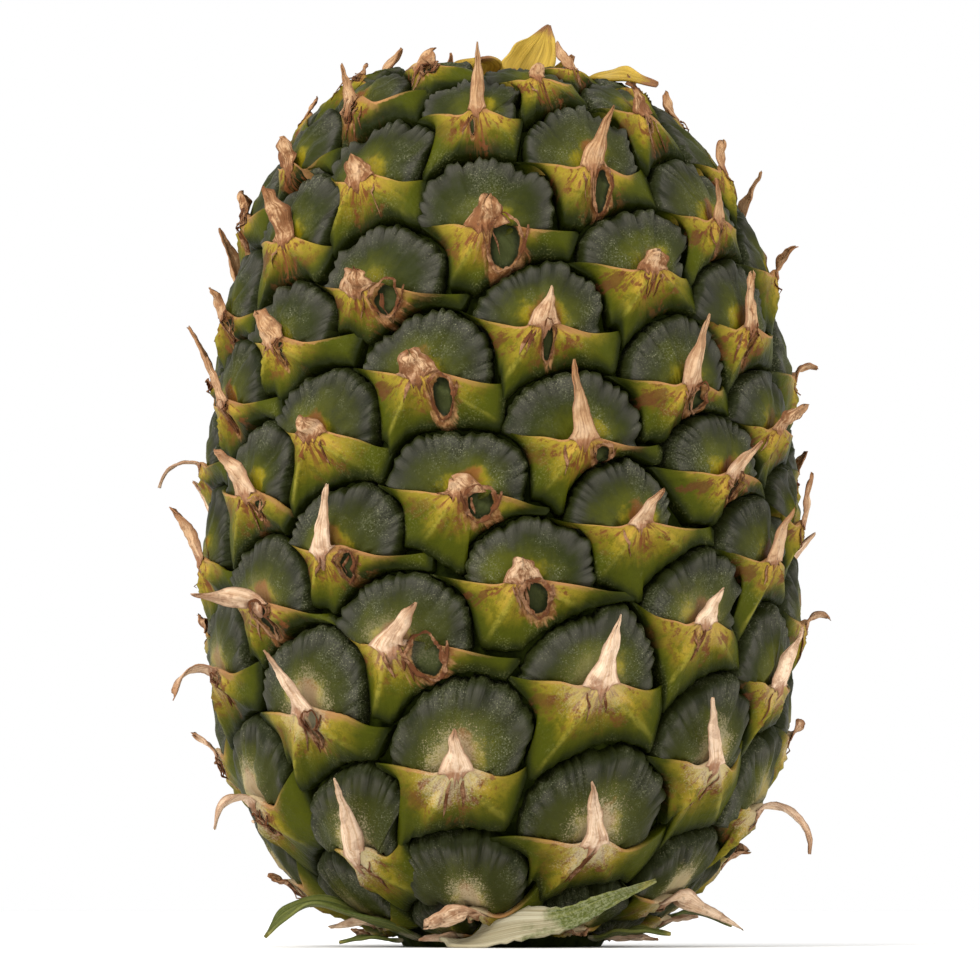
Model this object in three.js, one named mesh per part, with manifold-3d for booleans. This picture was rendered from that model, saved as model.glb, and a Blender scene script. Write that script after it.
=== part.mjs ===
// A pineapple with its crown twisted off and its stalk cut flush, standing on its base.
// The fruit is one body: some 120 eyes in a spiral, each with a domed cap above and a pointed bract
// below whose dry tip stands out. Torn crown leaves are left on top, stalk leaves under the base.
// Millimetres, +Z up, the front is -Y, the origin is the middle of the cut stalk on the resting plane.
import * as THREE from "three";
import Module from "manifold-3d";

// The fruit's envelope: a superellipse turned about Z, fuller above the girth than below it.
const GIRTH_RADIUS = 58;
const GIRTH_HEIGHT = 70;
const RISE_TO_APEX = 105;
const DROP_TO_BASE = 70.8;
const UPPER_FULLNESS = 2.75;
const LOWER_FULLNESS = 2.4;
const CROWN_SLANT = 0.06; // the crown end falls this much per millimetre towards +X
const SLANT_FROM = 120;
const SLANT_TO = 172;

// The spiral of eyes: eye 0 is near the middle of the front, and the numbers rise towards the crown.
const FIRST_EYE = -57;
const LAST_EYE = 63;
const TURN_DEG = 137.776;
const EYE_0_DEG = -5.6;
const PATH_0 = 19.4; // along the skin from the girth, at eye 0
const PATH_STEP = 1.42;
const PATH_EASE = -0.003;
const PATH_GROWTH = 0.00012;
const LEAN_AMOUNT = 3.2; // rows of eyes fall towards +X on the front
const CROWN_SQUEEZE = [95, 122]; // where eyes begin to crowd along the skin, and where they end
const BASE_SQUEEZE = [-66, -85.5];
const PRESSED_BELOW = 3; // lower than this the skin is pressed towards the table and never reaches it
// Eyes that grew off the spiral, in degrees round and millimetres up.
const STRAYS = {
  0: [-2, -3], 8: [-1.8, -3], "-8": [-4, -3], "-26": [6, 2.8], "-18": [5.6, 2], "-10": [4, 3.2], 16: [-1, -2],
  11: [-5, -1], 24: [-4, -0.8], 18: [-3.6, 0.6], 26: [-2.2, -1], 47: [3, 1.8], 44: [1, -5], 52: [-6, -5],
  60: [-13, -3], "-44": [6, -4.6], "-47": [-9, -2.6], "-42": [-4, 1], "-39": [0, -2.2], "-37": [-4, 0.6],
  "-31": [3.6, -1.6], "-29": [0, 1.7], "-34": [0.6, 1.2], "-16": [-2, -1.2], "-3": [3, 0.4], 29: [1.4, 0.8],
  34: [-2.2, -0.6], 37: [2, 0], 31: [1.8, 1.2], 13: [0, 1], 50: [2.8, 1.6],
};

// One eye, laid flat, in millimetres: across, up, out of the skin. The rows run from the groove over the
// cap down to the groove under the bract, and all of them meet in the eye's two side corners.
const STEP_8 = [22.3, 10.8]; // from an eye to the eighth and the fifth above it, at the girth
const STEP_5 = [-31.2, 9.0];
const GROOVE = -4.2;
const GIRTH_ARC = [[-16, 3.6], [-14.2, 6.4], [-10.2, 11], [-2, 13.4], [5.6, 12.8], [12, 8.2], [12.8, -0.8]];
const UPPER_ARC = [[-18, 4.2], [-16, 9], [-11, 13], [-2.5, 14.8], [5, 13.8], [14.6, 9.6], [16.8, 0.2]];
const LOWER_ARC = [[-17.4, 3.2], [-15.6, 6.8], [-10.4, 9.4], [-1, 10.4], [6.6, 10], [14.8, 6.8], [16.4, -0.4]];
const NARROWING = 0.16; // how much the fruit narrows until its eyes have the upper or the lower arch
// By then the caps are wider, and taller above the girth but flatter below it.
const CAP_WIDENS = 0.16;
const CAP_RISES = 0.1;
const CAP_SINKS = 0.22;
const SHOULDER = [[-12, 3.8, -1.2], [-8.7, 9.3, -0.7], [-1.6, 11.7, -0.4], [5, 11.1, -0.4], [10.2, 7, -0.7],
  [11, 0.7, -1.2]];
const CAP = [[-6.8, 4.5, 0.9], [0, 6.5, 1.2], [6.6, 4.2, 0.9]];
const FOOT = [[-12, 1, -1.6], [-2.6, 0.2, -0.2], [3.4, 0.3, -0.2], [11.6, -1.7, -1.6]];
const LIP = [[-12.6, 0, -0.7], [-2.6, -1, 1.9], [3.4, -0.9, 1.9], [12.7, -2.8, -0.7]];
const BODY = [[-6.8, -5.6, 1.4], [-1.2, -6.8, 1.5], [3.8, -3.7, 1], [9.6, -3.9, 0.1]];
const HEM = [[-9, -2.8, -0.8], [-8.3, -10, -0.6], [-3.2, -12.6, -0.6], [-1, -8, -0.3], [7, -5, -0.6],
  [14, -5.3, -1.4]];
// Noses that stand off the middle of their eye, in millimetres towards +X.
const NOSE_SHIFTS = {
  "-8": -3.4, 26: -4.4, 13: -1.6, 5: -1.6, "-21": -2.4, 52: -3.4, 60: -2.6, "-42": -1.4, 18: -1.4, 39: -1.8,
};

// Dry tips: length, degrees of lean towards +X, width, and degrees of lift off the skin at root and end.
const TIPS = {
  47: [15.7, -4, 4.2, 22, 17], 39: [4.5, -25, 7, 28, 40], 34: [5.5, 5, 8.4, 30, 50],
  42: [12, 22, 5.4, 24, 33], 26: [5, 12, 7.5, 30, 50], 21: [6.7, 13, 5.6, 13, 20],
  29: [3.6, 25, 7, 30, 50], 13: [5, -25, 7.5, 25, 40], 8: [15.2, -15, 5.4, 20, 22],
  16: [13, 1, 4.8, 22, 18], 5: [4.5, -10, 7.5, 30, 60], 0: [3.2, -40, 8, 10, -20],
  "-8": [13.4, 15, 5.6, 17, 3], "-13": [4.4, 5, 6, 30, 40], "-5": [7.8, 21, 4.6, 41, 24],
  "-21": [11.8, 42, 7, 24, 15], "-26": [14, 5, 6.2, 29, 15], "-18": [7, 11, 5.4, 26, 18],
  "-34": [8.3, 3, 6, 23, 11], "-39": [16.9, -20, 5.6, 9, 11], "-31": [15.3, -37, 5.4, 5, 8],
  "-29": [13.6, -8, 5, 25, 27], "-42": [22, 17, 6.6, 0, 12], "-47": [12.2, -100, 9, 13, 18],
  3: [8, 35, 5, 22, 35], 37: [7.6, -16, 4.4, 20, 23], 24: [10.2, 4, 5, 2, 8], 50: [6, -20, 8.4, 25, 50],
  52: [9, -14, 5.4, 40, 60], 44: [5.5, -35, 6, 31, 38], 31: [11.9, -34, 6.6, 10, 19],
  18: [6.4, -30, 6.6, 7, 21], "-3": [9.2, -20, 6.4, 22, 41], "-16": [12.6, -79, 6.6, 46, 80],
  "-23": [11.5, 13, 7, 5, 10], "-10": [10.1, 13, 6.2, 6, 24], 11: [6.8, 26, 6, 40, 59],
  "-36": [15.1, -7, 5.4, 60, 160], "-37": [10.5, 0, 6, 56, 160], "-44": [21, 86, 7.6, 22, 38],
  "-11": [11.4, 10, 6.4, 12, 48], 2: [10.3, -3, 5.6, 80, 170], 10: [8.7, -14, 5.4, 12, 20],
  "-24": [12, -20, 6.4, 74, 180], "-32": [6, 0, 6, 30, 45], 23: [5.2, -6, 5.4, 25, 52],
  32: [7.9, -60, 4.6, 26, 53], 45: [5, 0, 5.4, 20, 45], 19: [5, 0, 4.6, 40, 150],
  "-2": [10, -20, 4.6, 4, 16], "-15": [5, 0, 5, 40, 150], 6: [4.5, -22, 5, 14, 31],
  40: [13, -50, 4.6, 18, 24], 49: [4, 0, 5, 15, 25], 55: [4.2, 23, 4.6, 20, 28], 57: [4, 0, 5, 20, 30],
  60: [5.9, 34, 9, 22, 26], 53: [6, 0, 7, 20, 40],
};
const TIP_LENGTHS = [4, 13]; // of the tips that the list leaves out
const STUB_UNDER = 6.6; // shorter tips bend once, longer ones twice
const TIP_RINGS = [[0.4, 0.62, 1.3], [0.75, 0.34, 0.9]]; // how far along, share of the width, and thickness
const STUB_RINGS = [[0.55, 0.6, 1.2]];

// The flat ring that the fruit stands on, and the cut stalk in the hollow inside it.
const BASE_RING = 19.5;
const STALK_HOLE = 14;
const STALK_DEPTH = 4;
const RING_SIDES = 20;
const GAP = 0.4; // between the fruit and what grows on it
// The scar of the crown: a shallow dish with the broken end of the core in it.
const SCAR_RADIUS = 13;
const SCAR_HEIGHT = 170;
const CORE_RADIUS = 9;
const CORE_RIM = [3.2, 2.1, 2.8, 3.9, 2.6, 1.8, 3.1, 4.2, 2.4, 3.5]; // how high the break stands, round its edge
const CORE_DIP = 1.2;

// Torn crown leaves and stalk leaves: the middle line, the width at each of its points, the way the upper
// side looks at the root and at the end, how deep the blade is dished, and its thickness.
const CROWN_LEAVES = {
  crown_leaf_tall: { line: [[4.2, -11.4, 167.5], [5.8, -12, 172.6], [8, -11.6, 177.4], [9.6, -10, 182.2]],
    widths: [8, 10.6, 6.4, 0.9], face: [[0, -1, 0.1], [-0.3, -1, 0.3]], dish: 0.35, thick: 0.9 },
  crown_leaf_front: { line: [[-4, -11.6, 167.5], [-4, -12.8, 171.4], [-2.8, -15.4, 173.6], [-4.4, -19, 174.2]],
    widths: [4.6, 6.2, 5.4, 1.2], face: [[0.3, 0.8, 0.8], [0.1, 0.2, 1]], dish: 0.3, thick: 0.9 },
  crown_leaf_scrap: { line: [[10.4, -7.6, 167.5], [11.6, -9.6, 172], [14, -10.8, 176]],
    widths: [4.6, 4.6, 0.8], face: [[0.5, -0.9, 0.3], [0.1, -1, 0.4]], dish: 0.3, thick: 0.8 },
  crown_leaf_low: { line: [[12.4, 1, 167.5], [18, -3.8, 171.4], [23.4, -9.8, 171.6], [30.6, -13.6, 169.6]],
    widths: [5.4, 7, 6.2, 1.2], face: [[-0.5, 0, 1], [0, -0.7, 1]], dish: 0.3, thick: 0.9 },
  crown_leaf_back: { line: [[-2, 11.4, 167.5], [-3, 12.6, 172.5], [-6.4, 13.6, 176], [-11, 14, 176.8]],
    widths: [8, 9, 6, 0.9], face: [[0.1, 1, 0.1], [0.4, 0.7, 0.8]], dish: 0.35, thick: 0.9 },
  crown_leaf_side: { line: [[-11.6, 0, 167.5], [-12.8, 1, 172], [-16, 2.6, 174.6], [-20, 3, 174]],
    widths: [7, 7.4, 5.4, 1], face: [[1, 0, 0.7], [0.2, 0, 1]], dish: 0.3, thick: 0.9 },
};
const STALK_LEAVES = {
  stalk_leaf_left: { line: [[-17, -14, 1.6], [-25, -19.5, 4.6], [-35.4, -22, 8.2], [-41.6, -23, 6.4], [-46, -24, 2]],
    widths: [5, 7.4, 6.4, 4, 0.9], face: [[0.2, 0, 1], [-0.1, -0.5, 1]], dish: 0.35, thick: 0.9 },
  stalk_leaf_thin: { line: [[-20, -16, 1.1], [-26, -20, 1.9], [-31.6, -22, 1]],
    widths: [2.6, 2.4, 0.8], face: [[0, 0, 1], [0, -0.4, 1]], dish: 0.15, thick: 0.7 },
  stalk_leaf_front: {
    line: [[-8, -18, 1.2], [-6, -28, 1.8], [2, -35, 4], [12, -37.6, 5.4], [20, -39, 9], [29.5, -38.5, 13]],
    widths: [8, 9.6, 8.6, 5.6, 3.2, 0.9], face: [[0, -0.5, 1], [-0.3, -1.6, 0.3]], dish: 0.2, thick: 1 },
  stalk_leaf_dark: { line: [[18, -18, 1.4], [25.4, -23, 3.2], [32.6, -26, 2.6]],
    widths: [4.4, 4, 0.9], face: [[0, 0, 1], [0.1, -0.4, 1]], dish: 0.2, thick: 0.8 },
  stalk_leaf_right: { line: [[19, 8, 1.2], [29, 13, 3], [38, 16, 6.4], [46, 17, 4]],
    widths: [5.6, 6.4, 4.8, 0.9], face: [[0, 0, 1], [0, 0, 1]], dish: 0.3, thick: 0.9 },
  stalk_leaf_back: { line: [[8, 19, 1.2], [13, 28, 2.6], [17, 37, 6], [19, 46, 3.2]],
    widths: [6, 7.4, 5.6, 0.9], face: [[0, 0, 1], [0, 0, 1]], dish: 0.3, thick: 0.9 },
  stalk_leaf_behind: { line: [[-13, 16, 1.2], [-21, 25, 2.6], [-29, 32, 1.8]],
    widths: [4.6, 4.6, 0.9], face: [[0, 0, 1], [0, 0, 1]], dish: 0.2, thick: 0.8 },
};
const LEAF_STEPS = 8;
const LEAF_ACROSS = [-1, -0.45, 0.45, 1];
const LEAF_WAVE = [0.35, 2.6]; // how far the edges wave, and how many times along the leaf
const FLOOR_CLEARANCE = 0.35;

const radians = THREE.MathUtils.degToRad;
const lerp = THREE.MathUtils.lerp;
const chance = (eye, salt) => {
  const noise = Math.sin(eye * 12.9898 + salt * 78.233) * 43758.5453;
  return noise - Math.floor(noise);
};

// The skin's outline by its length from the girth, as radius, height and outward normal.
const outline = (() => {
  const STEPS = 3000;
  const points = [];
  for (let i = 0; i <= STEPS; i++) {
    const angle = Math.PI * (i / STEPS - 0.5);
    const fullness = angle > 0 ? UPPER_FULLNESS : LOWER_FULLNESS;
    const across = Math.abs(Math.cos(angle)) ** (2 / fullness);
    const along = Math.sign(angle) * Math.abs(Math.sin(angle)) ** (2 / fullness);
    points.push([GIRTH_RADIUS * across, GIRTH_HEIGHT + along * (along > 0 ? RISE_TO_APEX : DROP_TO_BASE)]);
  }
  const lengths = [0];
  for (let i = 1; i <= STEPS; i++) {
    const [a, b] = [points[i - 1], points[i]];
    lengths.push(lengths[i - 1] + Math.hypot(b[0] - a[0], b[1] - a[1]));
  }
  const atGirth = lengths[STEPS / 2];
  return { points, lengths: lengths.map((length) => length - atGirth) };
})();

function skin(path) {
  const { points, lengths } = outline;
  let low = 0;
  let high = lengths.length - 1;
  while (high - low > 1) {
    const middle = (low + high) >> 1;
    if (lengths[middle] > path) high = middle;
    else low = middle;
  }
  const t = (path - lengths[low]) / (lengths[high] - lengths[low]);
  const slope = Math.atan2(points[high][1] - points[low][1], points[high][0] - points[low][0]);
  return {
    radius: lerp(points[low][0], points[high][0], t),
    height: lerp(points[low][1], points[high][1], t),
    out: [Math.sin(slope), -Math.cos(slope)],
  };
}

function squeezed(path) {
  for (const [from, to] of [CROWN_SQUEEZE, BASE_SQUEEZE]) {
    const over = (path - from) / (to - from);
    if (over > 0) return from + (to - from) * (1 - Math.exp(-over));
  }
  return path;
}

// An eye's place: degrees round from the front towards +X, and length along the skin.
function eyePlace(eye) {
  const [strayTurn, strayPath] = STRAYS[eye] ?? [0, 0];
  const turn = EYE_0_DEG + eye * TURN_DEG;
  const path = PATH_0 + PATH_STEP * eye + PATH_EASE * eye ** 2 + PATH_GROWTH * eye ** 3;
  const lean = LEAN_AMOUNT * Math.sin(radians(turn)) * Math.exp(-((eye / 45) ** 2));
  return [turn + strayTurn, path - lean + strayPath];
}

// A point on an eye, from its flat place there: turned into spiral steps, so that shared corners agree.
const stepArea = STEP_8[0] * STEP_5[1] - STEP_5[0] * STEP_8[1];
function eyeSteps(eye) {
  const wide = (n) => {
    const [above, below] = [eyePlace(eye + n), eyePlace(eye - n)];
    const turns = Math.round((n * TURN_DEG) / 360) * 360;
    return [(above[0] - below[0]) / 2 - turns, (above[1] - below[1]) / 2];
  };
  return [wide(8), wide(5)];
}

const eyes = new Map();
function eyeFrame(eye) {
  if (!eyes.has(eye)) {
    const place = eyePlace(eye);
    const [by8, by5] = eyeSteps(eye);
    const at = skin(squeezed(place[1]));
    const size = Math.min(1, Math.sqrt(at.radius / GIRTH_RADIUS) * 1.05);
    const narrow = THREE.MathUtils.clamp((GIRTH_RADIUS / at.radius - 1) / NARROWING, 0, 1);
    const upper = place[1] > 0;
    const tall = 1 + (upper ? CAP_RISES : -CAP_SINKS) * narrow;
    eyes.set(eye, { place, by8, by5, size, narrow, upper, tall });
  }
  return eyes.get(eye);
}

function raise(turn, path, out) {
  const { radius, height, out: normal } = skin(squeezed(path));
  const r = radius + out * normal[0];
  const angle = radians(turn);
  const free = height + out * normal[1];
  const z = free < PRESSED_BELOW ? PRESSED_BELOW * Math.exp(free / PRESSED_BELOW - 1) : free;
  const x = r * Math.sin(angle);
  const slant = CROWN_SLANT * THREE.MathUtils.smoothstep(z, SLANT_FROM, SLANT_TO);
  return new THREE.Vector3(x, -r * Math.cos(angle), z - slant * x);
}

function eyePoint(eye, [across, up, out]) {
  const { place, by8, by5, size } = eyeFrame(eye);
  const share8 = (STEP_5[1] * across - STEP_5[0] * up) / stepArea;
  const share5 = (STEP_8[0] * up - STEP_8[1] * across) / stepArea;
  const turn = place[0] + share8 * by8[0] + share5 * by5[0];
  const path = place[1] + share8 * by8[1] + share5 * by5[1];
  return raise(turn, path, out * size);
}

// A mesh in the making: named points, each made once, and triangles between them.
class Shell {
  constructor() {
    this.points = [];
    this.triangles = [];
    this.named = new Map();
  }
  point(name, make) {
    if (!this.named.has(name)) {
      this.named.set(name, this.points.length);
      this.points.push(make());
    }
    return this.named.get(name);
  }
  add(point) {
    this.points.push(point);
    return this.points.length - 1;
  }
  face(a, b, c) {
    if (a !== b && b !== c && c !== a) this.triangles.push(a, b, c);
  }
  // Fills between an upper and a lower row, both running towards +X, by the shorter diagonal.
  stitch(upper, lower) {
    let [i, j] = [0, 0];
    const far = (a, b) => this.points[a].distanceTo(this.points[b]);
    while (i < upper.length - 1 || j < lower.length - 1) {
      const alongUpper = i < upper.length - 1 ? far(upper[i + 1], lower[j]) : Infinity;
      const alongLower = j < lower.length - 1 ? far(upper[i], lower[j + 1]) : Infinity;
      if (alongUpper < alongLower) {
        this.face(upper[i], lower[j], upper[i + 1]);
        i++;
      } else {
        this.face(upper[i], lower[j], lower[j + 1]);
        j++;
      }
    }
  }
  // The open edges, followed round into closed loops.
  openLoops() {
    const ends = new Map();
    const key = (a, b) => a * this.points.length + b;
    const edges = new Set();
    for (let i = 0; i < this.triangles.length; i += 3)
      for (let j = 0; j < 3; j++) edges.add(key(this.triangles[i + j], this.triangles[i + ((j + 1) % 3)]));
    for (let i = 0; i < this.triangles.length; i += 3)
      for (let j = 0; j < 3; j++) {
        const [a, b] = [this.triangles[i + j], this.triangles[i + ((j + 1) % 3)]];
        if (!edges.has(key(b, a))) ends.set(a, b);
      }
    const loops = [];
    while (ends.size) {
      const loop = [];
      let at = ends.keys().next().value;
      while (ends.has(at)) {
        loop.push(at);
        const next = ends.get(at);
        ends.delete(at);
        at = next;
      }
      loops.push(loop);
    }
    return loops;
  }
  geometry() {
    const made = new THREE.BufferGeometry().setFromPoints(this.points);
    made.setIndex(this.triangles);
    made.computeVertexNormals();
    return made;
  }
}

// Stands a four-sided dry tip on the root between an eye's foot and lip rows.
function addTip(shell, eye, root) {
  const free = [lerp(...TIP_LENGTHS, chance(eye, 1) ** 1.4), lerp(-30, 30, chance(eye, 2)),
    lerp(4.4, 6.4, chance(eye, 3)), lerp(12, 35, chance(eye, 4)), lerp(20, 60, chance(eye, 5))];
  const [length, lean, width, liftRoot, liftEnd] = TIPS[eye] ?? free;
  const { place, size } = eyeFrame(eye);
  const here = raise(place[0], place[1], 0);
  const east = raise(place[0] + 0.5, place[1], 0).sub(here).normalize();
  const out = raise(place[0], place[1], 1).sub(here).normalize();
  const north = out.clone().cross(east).normalize();
  const along = north.clone().multiplyScalar(Math.cos(radians(lean)));
  along.addScaledVector(east, Math.sin(radians(lean)));
  const across = along.clone().cross(out).normalize();
  const centre = new THREE.Vector3();
  for (const corner of root) centre.addScaledVector(shell.points[corner], 1 / root.length);
  let ring = root;
  let reached = 0;
  const heading = (share) => {
    const lift = radians(lerp(liftRoot, liftEnd, share));
    return along.clone().multiplyScalar(Math.cos(lift)).addScaledVector(out, Math.sin(lift));
  };
  (length < STUB_UNDER ? STUB_RINGS : TIP_RINGS).forEach(([share, ringWidth, thickness]) => {
    const forward = heading((share + reached) / 2);
    centre.addScaledVector(forward, length * size * (share - reached));
    reached = share;
    const face = across.clone().cross(forward).normalize();
    const halfWidth = (width * size * ringWidth) / 2;
    const half = thickness / 2;
    const next = [[-1, -1], [1, -1], [1, 1], [-1, 1]].map(([side, front]) =>
      shell.add(centre.clone().addScaledVector(across, side * halfWidth).addScaledVector(face, front * half)));
    ring.forEach((_, i) => {
      const j = (i + 1) % 4;
      shell.face(ring[i], next[j], ring[j]);
      shell.face(ring[i], next[i], next[j]);
    });
    ring = next;
  });
  centre.addScaledVector(heading(1), length * size * (1 - reached));
  const end = shell.add(centre);
  ring.forEach((corner, i) => shell.face(corner, end, ring[(i + 1) % 4]));
}

function archPoint(eye, n) {
  const { narrow, upper } = eyeFrame(eye);
  const arc = upper ? UPPER_ARC : LOWER_ARC;
  const [across, up] = [0, 1].map((axis) => lerp(GIRTH_ARC[n][axis], arc[n][axis], narrow));
  return eyePoint(eye, [across, up, GROOVE]);
}

function addEye(shell, eye) {
  const arcPoint = (owner, n) => shell.point(`${owner}/${n}`, () => archPoint(owner, n));
  const { narrow, tall } = eyeFrame(eye);
  const wide = 1 + CAP_WIDENS * narrow;
  const fitted = ([across, up, out]) => {
    const shift = (NOSE_SHIFTS[eye] ?? 0) * Math.exp(-((across / 9) ** 2) - (up / 11) ** 2);
    return [across * wide + shift, up > 0 ? up * tall : up, out];
  };
  const left = arcPoint(eye - 8, 4);
  const right = arcPoint(eye - 5, 1);
  const row = (places) => [left, ...places.map((place) => shell.add(eyePoint(eye, fitted(place)))), right];
  const groove = [left, ...GIRTH_ARC.map((_, n) => arcPoint(eye, n)), right];
  const hollow = [left, arcPoint(eye - 8, 5), arcPoint(eye - 8, 6), arcPoint(eye - 13, 1), arcPoint(eye - 13, 2),
    arcPoint(eye - 13, 3), arcPoint(eye - 13, 4), arcPoint(eye - 5, 0), right];
  const [shoulder, cap, foot, lip, body, hem] = [SHOULDER, CAP, FOOT, LIP, BODY, HEM].map(row);
  shell.stitch(groove, shoulder);
  shell.stitch(shoulder, cap);
  shell.stitch(cap, foot);
  shell.stitch(foot.slice(0, 3), lip.slice(0, 3));
  shell.stitch(foot.slice(3), lip.slice(3));
  addTip(shell, eye, [foot[2], foot[3], lip[3], lip[2]]);
  shell.stitch(lip, body);
  shell.stitch(body, hem);
  shell.stitch(hem, hollow);
}

const angleOf = (point) => (Math.atan2(point.x, -point.y) + 2 * Math.PI) % (2 * Math.PI);

// A closed row towards +X that starts at the front and repeats its first point at its end.
function fromFront(shell, loop, reversed) {
  const row = reversed ? [...loop].reverse() : [...loop];
  const first = row.reduce((best, p, i) =>
    (angleOf(shell.points[p]) < angleOf(shell.points[row[best]]) ? i : best), 0);
  const turned = [...row.slice(first), ...row.slice(0, first)];
  return [...turned, turned[0]];
}

function ringOf(shell, radius, height) {
  const ring = [];
  for (let i = 0; i < RING_SIDES; i++) {
    const angle = ((i + 0.25) / RING_SIDES) * 2 * Math.PI;
    ring.push(shell.add(new THREE.Vector3(radius * Math.sin(angle), -radius * Math.cos(angle), height)));
  }
  return [...ring, ring[0]];
}

function fruitGeometry() {
  const shell = new Shell();
  for (let eye = FIRST_EYE; eye <= LAST_EYE; eye++) addEye(shell, eye);
  const loops = shell.openLoops();
  const meanHeight = (loop) => loop.reduce((sum, p) => sum + shell.points[p].z, 0) / loop.length;
  loops.sort((a, b) => meanHeight(a) - meanHeight(b));
  const [lowest, highest] = [loops[0], loops[loops.length - 1]];
  // The base: a flat ring to stand on, and the hole that the stalk sits in.
  const [edge, inner, roof] = [ringOf(shell, BASE_RING, 0), ringOf(shell, STALK_HOLE, 0),
    ringOf(shell, STALK_HOLE, STALK_DEPTH)];
  shell.stitch(fromFront(shell, lowest, false), edge);
  shell.stitch(edge, inner);
  shell.stitch(inner, roof);
  const middle = shell.add(new THREE.Vector3(0, 0, STALK_DEPTH));
  for (let i = 0; i < RING_SIDES; i++) shell.face(roof[i], middle, roof[i + 1]);
  // The crown scar: a shallow dish inside the last eyes.
  const scar = ringOf(shell, SCAR_RADIUS, SCAR_HEIGHT);
  shell.stitch(scar, fromFront(shell, highest, true));
  const top = shell.add(new THREE.Vector3(0, 0, SCAR_HEIGHT));
  for (let i = 0; i < RING_SIDES; i++) shell.face(scar[i], scar[i + 1], top);
  return shell.geometry();
}

// A blade along its middle line, both faces split alike, or the room it needs when grow is over 0.
function leafGeometry({ line, widths, face, dish, thick }, seed, grow = 0) {
  const middle = new THREE.CatmullRomCurve3(line.map((p) => new THREE.Vector3(...p)));
  const [looksAtRoot, looksAtEnd] = face.map((way) => new THREE.Vector3(...way).normalize());
  const shell = new Shell();
  const rings = [];
  for (let i = 0; i <= LEAF_STEPS; i++) {
    const t = i / LEAF_STEPS;
    const station = t * (widths.length - 1);
    const n = Math.min(Math.floor(station), widths.length - 2);
    const half = lerp(widths[n], widths[n + 1], station - n) / 2;
    const centre = middle.getPoint(t);
    const forward = middle.getTangent(t);
    if (grow && i === 0) centre.addScaledVector(forward, -grow);
    if (grow && i === LEAF_STEPS) centre.addScaledVector(forward, grow);
    const across = forward.clone().cross(looksAtRoot.clone().lerp(looksAtEnd, t)).normalize();
    const up = across.clone().cross(forward).normalize();
    const row = LEAF_ACROSS.map((share) => {
      const wave = LEAF_WAVE[0] * Math.sin(2 * Math.PI * (LEAF_WAVE[1] * t + seed)) * share * Math.min(1, half / 3);
      return centre.clone().addScaledVector(across, share * (half + grow))
        .addScaledVector(up, dish * half * share ** 2 + wave);
    });
    const lay = (side) => row.map((p) => {
      const at = p.clone().addScaledVector(up, side * (thick / 2 + grow));
      at.z = Math.max(at.z, FLOOR_CLEARANCE - grow + (side > 0 ? thick + 2 * grow : 0));
      return shell.add(at);
    });
    rings.push([...lay(1), ...lay(-1).reverse()]);
  }
  const wide = LEAF_ACROSS.length;
  for (let i = 0; i < LEAF_STEPS; i++) {
    for (let j = 0; j < 2 * wide; j++) {
      const k = (j + 1) % (2 * wide);
      const [a, b, c, d] = [rings[i][j], rings[i][k], rings[i + 1][k], rings[i + 1][j]];
      if (j < wide) {
        shell.face(a, b, d);
        shell.face(b, c, d);
      } else {
        shell.face(a, c, d);
        shell.face(a, b, c);
      }
    }
  }
  for (let j = 0; j < wide - 1; j++) {
    const back = 2 * wide - 1 - j;
    const [root, end] = [rings[0], rings[LEAF_STEPS]];
    shell.face(root[j], root[back], root[j + 1]);
    shell.face(root[j + 1], root[back], root[back - 1]);
    shell.face(end[j], end[j + 1], end[back]);
    shell.face(end[j + 1], end[back - 1], end[back]);
  }
  return shell.geometry();
}

// The stalk's cut end: a low drum with rounded edges, its cut face level with the resting ring.
function stalkGeometry() {
  const radius = STALK_HOLE - GAP;
  const height = STALK_DEPTH - GAP;
  const side = [[0, 0], [radius - 0.5, 0], [radius, 0.5], [radius, height - 0.8], [radius - 0.8, height], [0, height]];
  return new THREE.LatheGeometry(side.map(([r, z]) => new THREE.Vector2(r, z)), 28).rotateX(Math.PI / 2);
}

// The broken core end: a low plug whose rim stands in uneven splinters round a dip.
function coreGeometry() {
  const shell = new Shell();
  const bottom = SCAR_HEIGHT + GAP;
  const sides = CORE_RIM.length * 2;
  const ring = (radius, height) => {
    const row = [];
    for (let i = 0; i < sides; i++) {
      const angle = (i / sides) * 2 * Math.PI;
      const at = new THREE.Vector3(radius * Math.sin(angle), -radius * Math.cos(angle), bottom + height(i));
      row.push(shell.add(at));
    }
    return [...row, row[0]];
  };
  const rim = (share) => (i) => share * (i % 2 ? 0.55 : 1) * CORE_RIM[i >> 1];
  const rings = [ring(CORE_RADIUS, () => 0), ring(CORE_RADIUS * 0.97, rim(1)), ring(CORE_RADIUS * 0.78, rim(0.8)),
    ring(CORE_RADIUS * 0.4, () => CORE_DIP)];
  const [under, over] = [0, CORE_DIP].map((height) => shell.add(new THREE.Vector3(0, 0, bottom + height)));
  for (let i = 0; i < 3; i++) shell.stitch(rings[i + 1], rings[i]);
  for (let i = 0; i < sides; i++) {
    shell.face(rings[0][i], under, rings[0][i + 1]);
    shell.face(rings[3][i], rings[3][i + 1], over);
  }
  return shell.geometry();
}

const wasm = await Module();
wasm.setup();
function solid(geometry) {
  const made = new wasm.Mesh({
    numProp: 3,
    vertProperties: geometry.getAttribute("position").array,
    triVerts: new Uint32Array(geometry.index.array),
  });
  return new wasm.Manifold(made);
}

// The fruit with room cut for each leaf's root; what the cuts set loose is dropped.
function fruitAroundLeaves(leaves) {
  let fruit = solid(fruitGeometry());
  leaves.forEach(([, leaf], n) => {
    fruit = fruit.subtract(solid(leafGeometry(leaf, n * LEAF_SEED, GAP)));
  });
  const largest = fruit.decompose().reduce((best, body) => (body.volume() > best.volume() ? body : best));
  const mesh = largest.getMesh();
  const made = new THREE.BufferGeometry();
  made.setAttribute("position", new THREE.BufferAttribute(new Float32Array(mesh.vertProperties), 3));
  made.setIndex(new THREE.BufferAttribute(new Uint32Array(mesh.triVerts), 1));
  made.computeVertexNormals();
  return made;
}
const LEAF_SEED = 0.37;

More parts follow.
